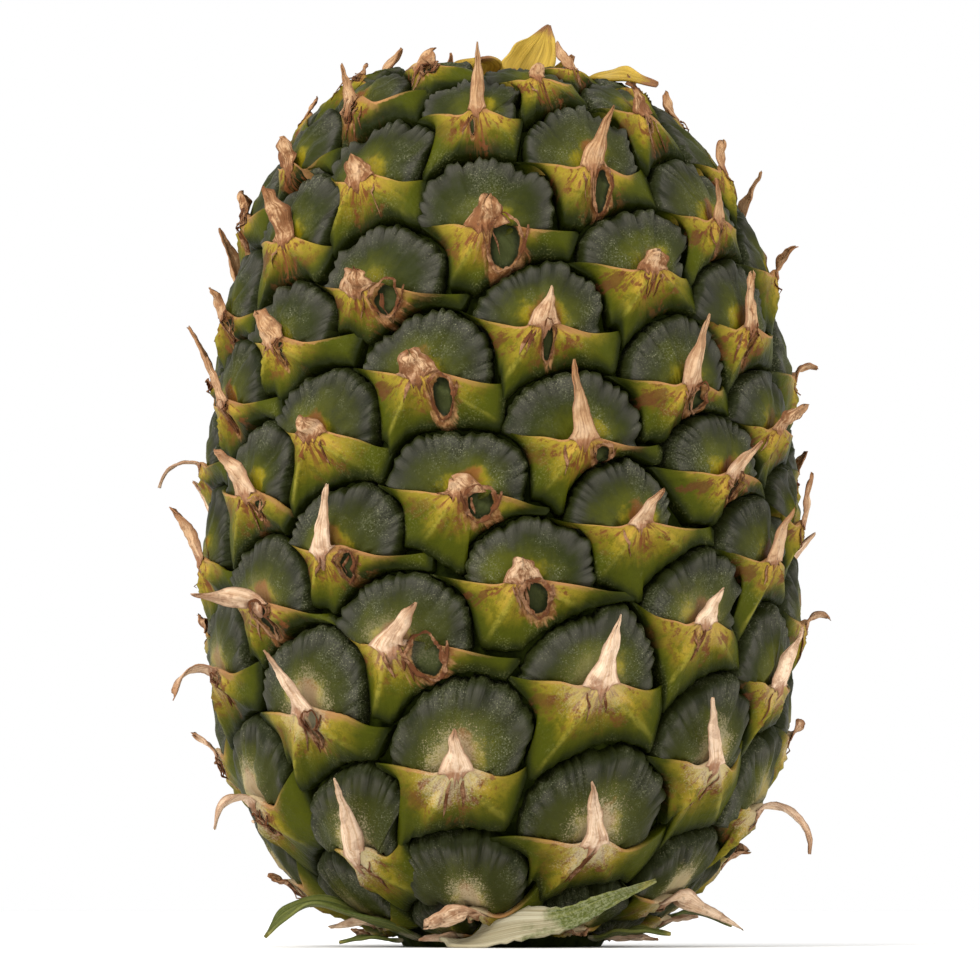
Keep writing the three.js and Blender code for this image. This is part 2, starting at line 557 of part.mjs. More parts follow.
const pineapple = new THREE.Group();
const finish = (color, roughness) => new THREE.MeshStandardMaterial({ color, roughness, metalness: 0 });
const rind = finish(0x3f4a2a, 0.55);
const leafYellow = finish(0xc8a838, 0.6);
const leafGreen = finish(0x5f7434, 0.55);
const cutStalk = finish(0xb08a5a, 0.85);
const add = (name, geometry, material) => {
  const mesh = new THREE.Mesh(geometry, material);
  mesh.name = name;
  pineapple.add(mesh);
  return mesh;
};

const leaves = [...Object.entries(CROWN_LEAVES), ...Object.entries(STALK_LEAVES)];
add("fruit", fruitAroundLeaves(leaves), rind);
add("stalk_end", stalkGeometry(), cutStalk);
add("crown_core", coreGeometry(), cutStalk);
leaves.forEach(([name, leaf], n) => {
  add(name, leafGeometry(leaf, n * LEAF_SEED), name in CROWN_LEAVES ? leafYellow : leafGreen);
});

export default pineapple;
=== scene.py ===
"""A pineapple with its crown twisted off, standing on its cut stalk."""

import math

import bpy
import numpy as np
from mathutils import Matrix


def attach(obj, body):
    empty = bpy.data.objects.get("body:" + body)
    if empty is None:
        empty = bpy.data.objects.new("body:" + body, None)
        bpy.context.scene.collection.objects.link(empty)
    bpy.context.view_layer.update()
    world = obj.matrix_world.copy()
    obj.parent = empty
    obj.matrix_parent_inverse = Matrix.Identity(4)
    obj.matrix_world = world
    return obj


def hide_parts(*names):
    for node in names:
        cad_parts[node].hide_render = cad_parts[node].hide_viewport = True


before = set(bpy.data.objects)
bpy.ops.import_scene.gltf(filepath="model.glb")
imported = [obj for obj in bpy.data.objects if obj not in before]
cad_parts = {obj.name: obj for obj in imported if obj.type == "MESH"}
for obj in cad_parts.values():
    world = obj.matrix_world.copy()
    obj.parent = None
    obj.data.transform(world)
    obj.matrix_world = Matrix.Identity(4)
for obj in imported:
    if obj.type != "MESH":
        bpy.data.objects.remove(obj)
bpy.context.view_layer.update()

# ---- The skin between the eyes ---------------------------------------------------------------------------
# The fruit is a barrel of fused flowers. Between the eyes its skin lies in narrow grooves, dark green and in
# shadow. All that grows on it is placed on this one surface, by turn round the core and length along the skin.

GIRTH_RADIUS, GIRTH_HEIGHT = 58.0, 70.0
RISE_TO_APEX, DROP_TO_BASE = 105.0, 70.8
UPPER_FULLNESS, LOWER_FULLNESS = 2.75, 2.4
CROWN_SLANT, SLANT_FROM, SLANT_TO = 0.06, 120.0, 172.0
PRESSED_BELOW = 3.0
CROWN_SQUEEZE, BASE_SQUEEZE = (95.0, 122.0), (-66.0, -85.5)
GROOVE = -4.3

bend = np.pi * (np.linspace(0, 1, 6001) - 0.5)
fullness = np.where(bend > 0, UPPER_FULLNESS, LOWER_FULLNESS)
outline_r = GIRTH_RADIUS * np.abs(np.cos(bend)) ** (2 / fullness)
outline_z = np.sign(bend) * np.abs(np.sin(bend)) ** (2 / fullness)
outline_z = GIRTH_HEIGHT + outline_z * np.where(bend > 0, RISE_TO_APEX, DROP_TO_BASE)
outline_s = np.r_[0, np.cumsum(np.hypot(np.diff(outline_r), np.diff(outline_z)))]
outline_s -= outline_s[3000]
slope = np.arctan2(np.gradient(outline_z), np.gradient(outline_r))


def squeezed(path):
    for start, end in (CROWN_SQUEEZE, BASE_SQUEEZE):
        over = (path - start) / (end - start)
        path = np.where(over > 0, start + (end - start) * (1 - np.exp(-np.maximum(over, 0))), path)
    return path


def on_skin(turn, path, out):
    """Points in metres, from degrees round, millimetres along the skin and millimetres out of it."""
    along = squeezed(np.asarray(path, float))
    lie = np.interp(along, outline_s, slope)
    r = np.interp(along, outline_s, outline_r) + out * np.sin(lie)
    z = np.interp(along, outline_s, outline_z) - out * np.cos(lie)
    z = np.where(z < PRESSED_BELOW, PRESSED_BELOW * np.exp(z / PRESSED_BELOW - 1), z)
    x, y = r * np.sin(np.radians(turn)), -r * np.cos(np.radians(turn))
    high = np.clip((z - SLANT_FROM) / (SLANT_TO - SLANT_FROM), 0, 1)
    z = z - x * CROWN_SLANT * high * high * (3 - 2 * high)
    return np.stack(np.broadcast_arrays(x, y, z), -1) * 0.001


def deselect_all():
    for other in bpy.context.selected_objects:
        other.select_set(False)


def blank_sheet(name, columns, rows):
    """A flat grid to be laid in place, its points in rows of columns."""
    deselect_all()
    bpy.ops.mesh.primitive_grid_add(x_subdivisions=columns - 1, y_subdivisions=rows - 1, size=1)
    sheet = bpy.context.object
    sheet.name = sheet.data.name = name
    return sheet


def place_points(piece, points):
    piece.data.vertices.foreach_set("co", np.ascontiguousarray(points, np.float32).ravel())
    piece.data.update()


def mark(piece, name, values):
    layer = piece.data.attributes.new(name, "FLOAT_VECTOR", "POINT")
    layer.data.foreach_set("vector", np.ascontiguousarray(values, np.float32).ravel())


def finish_piece(piece, paint, slot, *nodes):
    piece.data.materials.clear()
    piece.data.materials.append(paint)
    piece.data.polygons.foreach_set("use_smooth", np.ones(len(piece.data.polygons), bool))
    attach(piece, "root")
    if nodes:
        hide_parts(*nodes)


def joined(copies, name):
    deselect_all()
    for copy in copies:
        copy.select_set(True)
    bpy.context.view_layer.objects.active = copies[0]
    bpy.ops.object.join()
    copies[0].name = copies[0].data.name = name
    return copies[0]


def closed_outward(piece, merge=0.00001):
    """Merges the seams and turns every face outward."""
    deselect_all()
    piece.select_set(True)
    bpy.context.view_layer.objects.active = piece
    bpy.ops.object.mode_set(mode="EDIT")
    bpy.ops.mesh.select_all(action="SELECT")
    bpy.ops.mesh.remove_doubles(threshold=merge)
    bpy.ops.mesh.normals_make_consistent(inside=False)
    bpy.ops.object.mode_set(mode="OBJECT")


class Paint:
    """A procedural material, put together a node at a time; colour is what has been laid so far."""

    def __init__(self, name):
        self.material = bpy.data.materials.new(name)
        self.material.use_nodes = True
        self.tree = self.material.node_tree
        self.skin = self.tree.nodes["Principled BSDF"]
        self.object_place = self.tree.nodes.new("ShaderNodeTexCoord").outputs["Object"]
        self.colour = None

    def node(self, kind, inputs=None, output=0, **settings):
        made = self.tree.nodes.new("ShaderNode" + kind)
        for key, value in settings.items():
            setattr(made, key, value)
        for key, value in (inputs or {}).items():
            if isinstance(value, bpy.types.NodeSocket):
                self.tree.links.new(value, made.inputs[key])
            else:
                made.inputs[key].default_value = value
        return made.outputs[output]

    def math(self, how, *terms):
        return self.node("Math", dict(enumerate(terms)), operation=how)

    def times(self, a, b):
        return self.math("MULTIPLY", a, b)

    def plus(self, a, b):
        return self.math("ADD", a, b)

    def minus(self, a, b):
        return self.math("SUBTRACT", a, b)

    def apart(self, a, b):
        return self.math("ABSOLUTE", self.minus(a, b))

    def length(self, x, y):
        return self.math("SQRT", self.plus(self.times(x, x), self.times(y, y)))

    def bearing(self, u, v, from_u, from_v):
        return self.math("ARCTAN2", self.minus(v, from_v), self.minus(u, from_u))

    def swing(self, pattern, reach):
        """A pattern made to go evenly to both sides of nothing."""
        return self.times(self.minus(pattern, 0.5), reach)

    def shaken(self, value, pattern, reach):
        return self.plus(value, self.swing(pattern, reach))

    def step(self, value, start, end, low=0.0, high=1.0):
        inputs = {"Value": value, "From Min": start, "From Max": end, "To Min": low, "To Max": high}
        return self.node("MapRange", inputs, interpolation_type="SMOOTHSTEP")

    def split(self, vector):
        outputs = self.node("SeparateXYZ", {0: vector}).node.outputs
        return outputs[0], outputs[1], outputs[2]

    def parts(self, name):
        return self.split(self.node("Attribute", output=1, attribute_name=name))

    def vector(self, x, y, z):
        return self.node("CombineXYZ", {0: x, 1: y, 2: z})

    def noise(self, scale, detail=2.0, rough=0.5, place=None):
        place = place or self.object_place
        return self.node("TexNoise",
                         {"Vector": place, "Scale": scale, "Detail": detail, "Roughness": rough})

    def grit(self, scale, edge, drawn):
        """Round specks, in the cells of a pattern that the draw picks."""
        distance = self.node("TexVoronoi", {"Vector": self.object_place, "Scale": scale}, output="Distance")
        lot = self.node("SeparateColor", {0: distance.node.outputs["Color"]})
        return self.times(self.step(distance, *edge), self.step(lot, *drawn))

    def mix(self, share, under, over):
        under, over = ((*tint, 1) if isinstance(tint, tuple) else tint for tint in (under, over))
        return self.node("Mix", {0: share, 6: under, 7: over}, output=2, data_type="RGBA")

    def lay(self, tint, share, strength=1.0):
        """Lays a tint over the colour so far."""
        if strength != 1.0:
            share = self.times(share, strength)
        self.colour = self.mix(share, self.colour, tint)

    def away(self, u, v, at_u, at_v, squash=1.0):
        return self.length(self.minus(u, at_u), self.times(self.minus(v, at_v), squash))

    def coat(self, roughness, specular=0.5):
        self.tree.links.new(self.colour, self.skin.inputs["Base Color"])
        self.skin.inputs["Roughness"].default_value = roughness
        self.skin.inputs["Specular IOR Level"].default_value = specular

    def relief(self, height, depth_mm):
        inputs = {"Height": height, "Strength": 1.0, "Distance": depth_mm * 0.001}
        self.tree.links.new(self.node("Bump", inputs), self.skin.inputs["Normal"])


GROOVE_COLUMNS, GROOVE_ROWS = 145, 100
grooves = blank_sheet("rind_grooves", GROOVE_COLUMNS, GROOVE_ROWS)
path = np.linspace(-87, 116, GROOVE_ROWS - 8)
turn = np.linspace(0, 360, GROOVE_COLUMNS)
wall = on_skin(turn[None, :], path[:, None], GROOVE + 0.5 * np.sin(np.radians(turn * 21))[None, :])
foot = [(14.0, 0.2), (16.5, 0.05), (19.5, 0.05)]
scar = [(16.0, 168.6), (13.0, 169.0), (10.0, 168.6), (5.0, 168.2), (0.001, 168.0)]
ring = lambda r, z: np.stack([r * np.sin(np.radians(turn)), -r * np.cos(np.radians(turn)), z + 0 * turn],
                             -1) * 0.001
rings = [ring(r, z) for r, z in foot] + list(wall) + [ring(r, z) for r, z in scar]
place_points(grooves, np.array(rings))
closed_outward(grooves)
paint = Paint("groove_green")
mottle = paint.noise(320.0, 4.0, 0.6)
# The groove skin's dark green is deepened to near black as painted shade for the narrow, deep grooves.
fresh = paint.mix(paint.step(mottle, 0.3, 0.7), (0.008, 0.012, 0.001), (0.028, 0.038, 0.003))
height_on_fruit = paint.split(paint.object_place)[2]
scarred = paint.mix(paint.step(mottle, 0.35, 0.65), (0.16, 0.1, 0.03), (0.42, 0.3, 0.1))
paint.colour = paint.mix(paint.step(height_on_fruit, 0.1668, 0.1682), fresh, scarred)
paint.coat(0.8, 0.05)
paint.relief(mottle, 0.6)
finish_piece(grooves, paint.material, "rind", "fruit")

# ---- The caps of the eyes --------------------------------------------------------------------------------
# Each eye is one flower grown into a berry. Its upper half is a cushion of closed sepals, charcoal green and
# mealy, fluted round its edge, with a seam down the middle and yellow where it goes under the bract.

FIRST_EYE, LAST_EYE = -57, 63
TURN_DEG, EYE_0_DEG = 137.776, -5.6
PATH_0, PATH_STEP, PATH_EASE, PATH_GROWTH = 19.4, 1.42, -0.0030, 0.00012
LEAN_AMOUNT = 3.2
STRAYS = {0: (-2, -3), 8: (-1.8, -3), -8: (-4, -3), -26: (6, 2.8), -18: (5.6, 2), -10: (4, 3.2),
          16: (-1, -2),
          11: (-5, -1), 24: (-4, -0.8), 18: (-3.6, 0.6), 26: (-2.2, -1), 47: (3, 1.8), 44: (1, -5), 52: (-6,
                                                                                                         -5),
          60: (-13, -3), -44: (6, -4.6), -47: (-9, -2.6), -42: (-4, 1), -39: (0, -2.2), -37: (-4, 0.6),
          -31: (3.6, -1.6), -29: (0, 1.7), -34: (0.6, 1.2), -16: (-2, -1.2), -3: (3, 0.4), 29: (1.4, 0.8),
          34: (-2.2, -0.6), 37: (2, 0), 31: (1.8, 1.2), 13: (0, 1), 50: (2.8, 1.6)}
STEP_8, STEP_5 = np.array([22.3, 10.8]), np.array([-31.2, 9.0])
GIRTH_ARC = [(-16, 3.6), (-14.2, 6.4), (-10.2, 11), (-2, 13.4), (5.6, 12.8), (12, 8.2), (12.8, -0.8)]
UPPER_ARC = [(-18, 4.2), (-16, 9), (-11, 13), (-2.5, 14.8), (5, 13.8), (14.6, 9.6), (16.8, 0.2)]
LOWER_ARC = [(-17.4, 3.2), (-15.6, 6.8), (-10.4, 9.4), (-1, 10.4), (6.6, 10), (14.8, 6.8), (16.4, -0.4)]
LIFT_LOW, LIFT_HIGH = (0.8, 4.6), (0.8, 2.0)
# Right wings that grew higher or lower than their neighbours, in millimetres.
WING_LIFTS = {34: -2.1, 26: -2.5, 29: 0.6, 21: 1.7, 13: 2.5, 8: -1.1, 0: -2.6, -13: -1.7, -5: -0.8, 16: 1.1,
              -21: -5.2, -26: 1.5, -18: 2.6, -34: -2.1, 5: 0.9, -29: -6.5}
# Caps that grew off the common shape: how far five points of the arch moved, from left to right.
GROWN_CAPS = {
    -26: [(0.6, -2.4), (1.2, -3.4), (-0.4, -2.8), (-0.6, -0.6), (-1.2, -2)],
    -5: [(1.8, -1.5), (0.6, -1.7), (-2.8, -0.2), (-4, 2.2), (-4.2, 0.2)],
    -13: [(5, -1.4), (4.6, -2.2), (3, -1.2), (1.5, -0.5), (1.5, 0)],
    -18: [(2.6, -1.6), (3.4, -2.6), (3.6, -0.8), (2, 0), (2.6, -1)],
    -34: [(1, -2), (0.4, -1.6), (0, -0.3), (0.4, -0.8), (0, -2)],
    13: [(0.8, -1.6), (1.4, -3), (1, -1), (0, -0.4), (-0.4, -0.7)],
    26: [(0.4, -1), (0.4, -1.4), (0, -0.2), (-0.6, -1), (-0.4, -1.2)],
    34: [(0, 0), (0, 0), (0, 0), (0, 0), (0, 0)],
    0: [(-0.8, 0), (-0.4, 0), (0, -1.2), (0, -1.2), (-0.4, -0.8)],
    21: [(1.2, -1.4), (1.6, -2.6), (0.8, -0.8), (0, 0.2), (-0.4, -0.4)],
    29: [(0.6, -0.6), (0.8, -2), (0.8, -1.6), (1, -0.4), (0.8, -1)],
    8: [(-0.6, -0.4), (-0.4, -1), (0, 0), (0, 0.2), (0.2, -0.6)],
    -39: [(0.8, -0.8), (0.6, -0.8), (0.4, 0.8), (0, 0.6), (-0.8, -0.8)],
    -47: [(-2.4, 0), (-1.6, 0.6), (0, 0.6), (1.2, 0.6), (1.6, 0)],
}
COMMON_GROWTH = [(0.5, -0.8), (0.7, -1.5), (0.4, -0.5), (0, 0), (-0.2, -0.4)]
LEFT_OF, RIGHT_OF = (-8, 4), (-5, 1)
CAP_COLUMNS = 73
CAP_ROWS = np.array([0, 0.22, 0.42, 0.58, 0.71, 0.81, 0.88, 0.925, 0.955, 0.975, 0.99, 1.0])
CAP_ROOT = (-0.3, -4.0)

chance = lambda eye, salt: (math.sin(eye * 12.9898 + salt * 78.233) * 43758.5453) % 1.0


def eye_place(eye):
    turned, climbed = STRAYS.get(eye, (0, 0))
    turn = EYE_0_DEG + eye * TURN_DEG
    path = PATH_0 + PATH_STEP * eye + PATH_EASE * eye**2 + PATH_GROWTH * eye**3
    lean = LEAN_AMOUNT * math.sin(math.radians(turn)) * math.exp(-((eye / 45) ** 2))
    return np.array([turn + turned, path - lean + climbed])


def eye_steps(eye):
    """The way from this eye to the eighth and to the fifth above it, as rows."""
    rows = []
    for n in (8, 5):
        way = (eye_place(eye + n) - eye_place(eye - n)) / 2
        rows.append([way[0] - round(n * TURN_DEG / 360) * 360, way[1]])
    return np.array(rows)


FLAT = np.linalg.inv(np.array([STEP_8, STEP_5]))


def out_of_eye(eye, flat):
    """Turn and path of points given flat on an eye, across and up in millimetres of an eye at the girth."""
    return eye_place(eye) + np.asarray(flat, float) @ FLAT @ eye_steps(eye)


def into_eye(eye, places):
    return (places - eye_place(eye)) @ np.linalg.inv(eye_steps(eye)) @ np.array([STEP_8, STEP_5])


def arch(eye):
    """The top of an eye, seven points from its left wing over the cap to its right wing."""
    path = eye_place(eye)[1]
    narrow = np.clip((GIRTH_RADIUS / np.interp(squeezed(path), outline_s, outline_r) - 1) / 0.16, 0, 1)
    end = UPPER_ARC if path > 0 else LOWER_ARC
    return np.array(GIRTH_ARC) * (1 - narrow) + np.array(end) * narrow


def cap_arch(eye):
    """The arch as this eye's cap grew it."""
    points = arch(eye)
    own = [(0.9 * (chance(eye, 70 + n) - 0.5), 0.9 * (chance(eye, 75 + n) - 0.5)) for n in range(5)]
    points[1:6] += GROWN_CAPS.get(eye, np.array(COMMON_GROWTH) + own)
    return points


def neighbour_point(eye, other, n, shape=arch):
    """A point of another eye's arch, flat on this eye."""
    place = out_of_eye(eye + other, shape(eye + other)[n])
    place = place - [round(other * TURN_DEG / 360) * 360, 0]
    return into_eye(eye, place)


def wing_points(eye):
    """The points of the bract's two wings; on the round ends of the fruit the right one is drawn upward."""
    path = eye_place(eye)[1]
    lift = np.array(LIFT_HIGH) * min(1,
                                     path / 42) if path > 0 else np.array(LIFT_LOW) * np.clip((-path - 6) / 20, 0, 1)
    lift[1] += WING_LIFTS.get(eye, 0.0)
    return neighbour_point(eye, *LEFT_OF), neighbour_point(eye, *RIGHT_OF) + lift


def eye_size(eye):
    path = squeezed(np.array(eye_place(eye)[1]))
    return min(1.0, math.sqrt(np.interp(path, outline_s, outline_r) / GIRTH_RADIUS) * 1.05)


def smooth_line(points, count):
    """A line through the points, with count points evenly along it."""
    p = np.asarray(points, float)
    before, after = np.vstack([2 * p[0] - p[1], p[:-1]]), np.vstack([p[1:], 2 * p[-1] - p[-2]])
    lean = (after - before) / 2
    t = np.linspace(0, 1, 16, endpoint=False)[:, None]
    h = (2 * t**3 - 3 * t**2 + 1, t**3 - 2 * t**2 + t, -2 * t**3 + 3 * t**2, t**3 - t**2)
    runs = [h[0] * p[i] + h[1] * lean[i] + h[2] * p[i + 1] + h[3] * lean[i + 1] for i in range(len(p) - 1)]
    line = np.vstack(runs + [p[-1:]])
    length = np.r_[0, np.cumsum(np.hypot(*np.diff(line, axis=0).T))]
    even = np.linspace(0, length[-1], count)
    return np.stack([np.interp(even, length, line[:, i]) for i in (0, 1)], -1)


def cap_outline(eye, count):
    top = cap_arch(eye)
    left, right = top[1] + [0, -1.6], top[5] + [0.9, -4.2]
    right[0] = min(right[0], max(wing_points(eye)[1][0] - 1.5, 10.5))
    points = [left + [2.4, -9], left + [-0.2, -5.2], left] + list(top[2:6]) + [right, right + [-0.4, -4.4],
                                                                               right + [-2, -8]]
    line = smooth_line(points, count)
    notch = np.exp(-(((line[:, 0] + 0.8) / 1.1) ** 2)) * (line[:, 1] > 6)
    line[:, 1] -= notch * (0.2 + 0.7 * chance(eye, 18))
    return line


def rounded(depth, reach):
    """How high a rounded edge stands, 0 to 1, at a depth in from it."""
    share = np.clip(depth / reach, 0, 1)
    return (1 - (1 - share) ** 2.3) ** (1 / 2.3)


def rim_line(eye, count):
    """The bract's upper edge: its wings droop to the points, and the middle stands up to the dry tip."""
    sag = 0.9 * (chance(eye, 26) - 0.4)
    left, right = wing_points(eye)
    low, end = -1.5 - 0.6 * sag, right[1]
    points = [left, (0.72 * left[0], 0.1 + 0.2 * left[1] + 0.3 * sag), (0.42 * left[0], -0.2 - 0.8 * sag),
              (-3.4, -0.7 - 0.5 * sag), (0.4, 0.5), (4.2, -0.4 - 0.5 * sag), (min(9, 0.62 * right[0]), low),
              (4.4 + 0.5 * right[0], (low + end) / 2 - 0.5), (1.8 + 0.8 * right[0],
                                                              0.2 * low + 0.8 * end - 0.35), right]
    return smooth_line(points, count)


def neighbour_rim(eye, other, u):
    """A point just above a wing of another eye, flat on this eye."""
    rim = rim_line(eye + other, 41)
    u = np.clip(u, rim[0, 0] + 1.5, rim[-1, 0] - 1.5)
    place = out_of_eye(eye + other, (u, np.interp(u, rim[:, 0], rim[:, 1]) + 0.5))
    return into_eye(eye, place - [round(other * TURN_DEG / 360) * 360, 0])


def bract_line(eye, count):
    """The bract's lower edge, with its two lobes between the eyes below."""
    corner = [neighbour_point(eye, *n, cap_arch) for n in ((-8, 5), (-13, 1), (-13, 2), (-13, 3), (-13, 4))]
    low_right, low_left = arch(eye - 8)[6][0] + 0.3, arch(eye - 5)[0][0] + 0.4
    lobe, lobe_edge = neighbour_rim(eye, -8, low_right), neighbour_rim(eye, -8, low_right + 2.6)
    right_lobe = neighbour_rim(eye, -5, low_left)
    left, right = wing_points(eye)
    foot = [lobe, lobe_edge, corner[1]]
    if eye - 13 in GROWN_CAPS and GROWN_CAPS[eye - 13][0][0] > 1.5:
        foot.insert(2, neighbour_rim(eye, -13, cap_arch(eye - 13)[1][0] - 0.6))
    runs = [[left, corner[0], lobe], foot, corner[1:], [corner[4], right_lobe, right]]
    line = np.vstack([smooth_line(run, 60) for run in runs])
    length = np.r_[0, np.cumsum(np.hypot(*np.diff(line, axis=0).T))]
    clear_of_wings = np.clip(np.minimum(length, length[-1] - length) / 9 - 0.6, 0, 1)
    line[:, 1] += 0.45 * clear_of_wings * np.abs(np.sin(length * 0.95 + 6 * chance(eye, 33)))
    even = np.linspace(0, length[-1], count)
    return np.stack([np.interp(even, length, line[:, i]) for i in (0, 1)], -1)


NOSE = (0.3, -0.8)
# The bract is folded along two lines that run from its nose to its lobes, at these bearings.
FOLDS = (-2.2, -0.56)
# Noses that stand off the middle of their eye, in millimetres towards +X.
NOSE_SHIFTS = {-8: -3.4, 26: -4.4, 13: -1.6, 5: -1.6, -21: -2.4, 52: -3.4, 60: -2.6, -42: -1.4, 18: -1.4,
               39: -1.8}


def nose_shift(eye, flat):
    """How far points near the middle of an eye go with its nose."""
    return NOSE_SHIFTS.get(eye, 0.0) * np.exp(-((flat[..., 0] / 9) ** 2) - (flat[..., 1] / 11) ** 2)


def bract_height(eye, s, t, flat, length):
    """How far the bract stands out of the skin, from its place between its edges."""
    u, v = flat[..., 0] - nose_shift(eye, flat), flat[..., 1]
    rim = -2.6 + 4.5 * np.clip(1 - np.abs(2 * s - 1.0) ** 2.8, 0, 1) ** 0.75
    top = rim * (1 - t) ** 1.2 + (-1.3) * (1 - (1 - t) ** 1.2)
    away = np.hypot(u - NOSE[0], v - NOSE[1])
    top = top + 1.1 * np.exp(-(((u - NOSE[0]) / 2.2) ** 2 + ((v - NOSE[1] + 0.4) / 2.6) ** 2))
    facing = np.arctan2(v - NOSE[1], u - NOSE[0])
    for n, (aim, tall) in enumerate(zip(FOLDS, (2.0, 1.8))):
        ridge = np.exp(-np.abs((facing - aim + 3 * math.pi) % (2 * math.pi) - math.pi) / 0.2)
        top = top + (tall + 0.4 * chance(eye, 27 + n)) * ridge * np.clip(away / 4, 0,
                                                                         1) * np.clip(1.3 - away / 16, 0, 1)
    top = top - 0.6 * np.exp(-(((facing + 1.35) / 0.3) ** 2)) * np.clip(away / 5, 0, 1)
    ripple = np.sin(facing * (11 + 3 * chance(eye, 29)) + 6 * chance(eye, 30)) * np.clip(away / 8, 0, 1)
    top = top + 0.15 * ripple
    return GROOVE + (top - GROOVE) * rounded((1 - t) * length, np.clip(0.14 * length, 0.12, 0.8))


def bract_surface(eye, flat):
    """The height of the bract's face at flat points, and how far they are below its rim."""
    rim, edge = rim_line(eye, 161), bract_line(eye, 161)
    s = np.interp(flat[..., 0], rim[:, 0], np.linspace(0, 1, 161))
    for _ in range(4):
        at = np.clip(np.round(s * 160).astype(int), 0, 160)
        top, foot = rim[at], edge[at]
        t = np.clip((top[..., 1] - flat[..., 1]) / np.maximum(top[..., 1] - foot[..., 1], 0.5), 0, 1)
        line_u = top[..., 0] + (foot[..., 0] - top[..., 0]) * t
        s = np.clip(s + (flat[..., 0] - line_u) / 38.0, 0, 1)
    length = np.hypot(*np.moveaxis(foot - top, -1, 0))
    return bract_height(eye, s, t, flat, length), top[..., 1] - flat[..., 1]


def cap_height(eye, flat, depth, share):
    seam = chance(eye, 11)
    h = GROOVE + 3.9 * rounded(depth, 1.5) + 1.9 * (1 - share**2.4)
    h -= 0.5 * seam * np.exp(-(((flat[..., 0] + 0.4) / 0.8) ** 2)) * np.clip(share - 0.45, 0, 1) * 2
    swell = np.sin(flat[..., 0] * 0.75 + 6.3 * chance(eye, 12)) * np.sin(flat[...,
                                                                              1] * 0.6 + 6.3 * chance(eye,
                                                                                                      13))
    facing = np.arctan2(flat[..., 0] + 0.5, flat[..., 1] + 2)
    for n, way in enumerate((-0.52, 0.56)):
        crease = np.exp(-(((facing - way - 0.3 * (chance(eye, 19 + n) - 0.5)) / 0.12) ** 2))
        h = h - (0.3 + 1.2 * chance(eye, 60 + n)) * crease * np.clip(share - 0.3, 0, 1) * 1.6
    folds = np.sin(facing * (9 + 4 * chance(eye, 62)) + 1.6 * np.sin(facing * 3 + 6 * chance(eye, 63)))
    h = h + 0.38 * folds * np.clip(share - 0.35, 0, 1) ** 1.5 * 2
    h = h + 0.42 * swell
    face, below = bract_surface(eye, flat)
    return np.where(below > 0,
                    np.minimum(h, h + (np.minimum(h, face - 2.6) - h) * np.clip(below / 0.9, 0, 1)), h)


caps = []
for eye in range(FIRST_EYE, LAST_EYE + 1):
    outline = cap_outline(eye, CAP_COLUMNS)
    round_arch = np.linspace(0, 1, CAP_COLUMNS)
    uneven = round_arch + 0.02 * np.sin(round_arch * 19 + 9 * chance(eye,
                                                                     15)) + 0.013 * np.sin(round_arch * 43 + 5 * chance(eye, 14))
    lobes = np.abs(np.sin(np.pi * (16 + 5 * chance(eye, 14)) * uneven + 3 * chance(eye, 15)))
    fine = np.sin(2 * np.pi * 31 * round_arch + 5 * chance(eye, 16))
    fringe = 1.0 - 0.052 * (1 - lobes) * (0.4 + 0.6 * np.sin(round_arch * 13 + eye) ** 2) - 0.008 * fine
    root = np.array(CAP_ROOT)
    reach = np.hypot(*(outline - root).T)
    share = CAP_ROWS[:, None] * np.ones(CAP_COLUMNS)[None, :]
    flat = root + (outline - root)[None] * (share * fringe[None, :])[..., None]
    depth = (1 - share) * reach[None, :]
    flute = (0.85 * (lobes - 0.6) + 0.06 * fine)[None, :] * np.exp(-(((depth - 0.9) / 2.8) ** 2))
    height = (cap_height(eye, flat, depth, share) + flute) * eye_size(eye)
    place = out_of_eye(eye, flat)
    cap = blank_sheet(f"cap_{eye}", CAP_COLUMNS, len(CAP_ROWS))
    place_points(cap, on_skin(place[..., 0], place[..., 1], height))
    seed = np.full(share.shape, chance(eye, 17))
    mark(cap, "eye_place", np.stack([flat[..., 0] - nose_shift(eye, flat), flat[..., 1], seed], -1))
    mark(cap, "cap_place",
         np.stack([round_arch[None, :] + 0 * share, depth, lobes[None, :] + 0 * share], -1))
    caps.append(cap)
caps = joined(caps, "eye_caps")

paint = Paint("mealy_cap")
u, v, seed = paint.parts("eye_place")
arch_at, depth, lobe = paint.parts("cap_place")
height_on_fruit = paint.split(paint.object_place)[2]
low_down = paint.step(height_on_fruit, 0.085, 0.02)
seeded = paint.times(seed, 61.0)
fine = paint.noise(1.0, 3.0,
                   place=paint.vector(paint.times(arch_at, 150.0), paint.times(depth, 0.4), seeded))
flutes = paint.plus(paint.times(lobe, 0.55), paint.times(fine, 0.75))
cloud = paint.noise(170.0, 4.0, 0.65)
uneven = paint.minus(cloud, 0.5)
to_rim = paint.plus(paint.step(depth, 8.0, 0.5), paint.times(uneven, 1.5))
to_rim = paint.minus(to_rim, paint.times(low_down, 0.3))
green = paint.mix(seed, (0.015, 0.019, 0.001), (0.026, 0.029, 0.003))
grey = paint.mix(seed, (0.031, 0.03, 0.021), (0.015, 0.016, 0.009))
paint.colour = paint.mix(paint.step(to_rim, 0.0, 1.0), green, grey)
# Painted highlight on the crests of the flutes near the rim, and painted shade in the hollows between them.
ridge = paint.times(paint.step(flutes, 0.52, 0.86), paint.step(depth, 5.0, 1.0))
paint.lay((0.056, 0.054, 0.04), ridge, 0.65)
painted_flute_shade = paint.times(paint.step(flutes, 0.62, 0.38), paint.step(depth, 3.6, 0.8))
paint.lay((0.008, 0.011, 0.001), painted_flute_shade, 0.85)
# Painted shade where the cap's edge drops down into the groove.
paint.lay((0.012, 0.015, 0.002), paint.step(paint.minus(depth, paint.times(flutes, 0.9)), 1.25, 0.1))
heart = paint.away(u, v, 0.0, 1.0, 1.25)
lime = paint.step(paint.plus(heart, paint.times(cloud, 9.0)), 14.0, 5.4)
paint.lay((0.08, 0.084, 0.003), lime, 0.75)
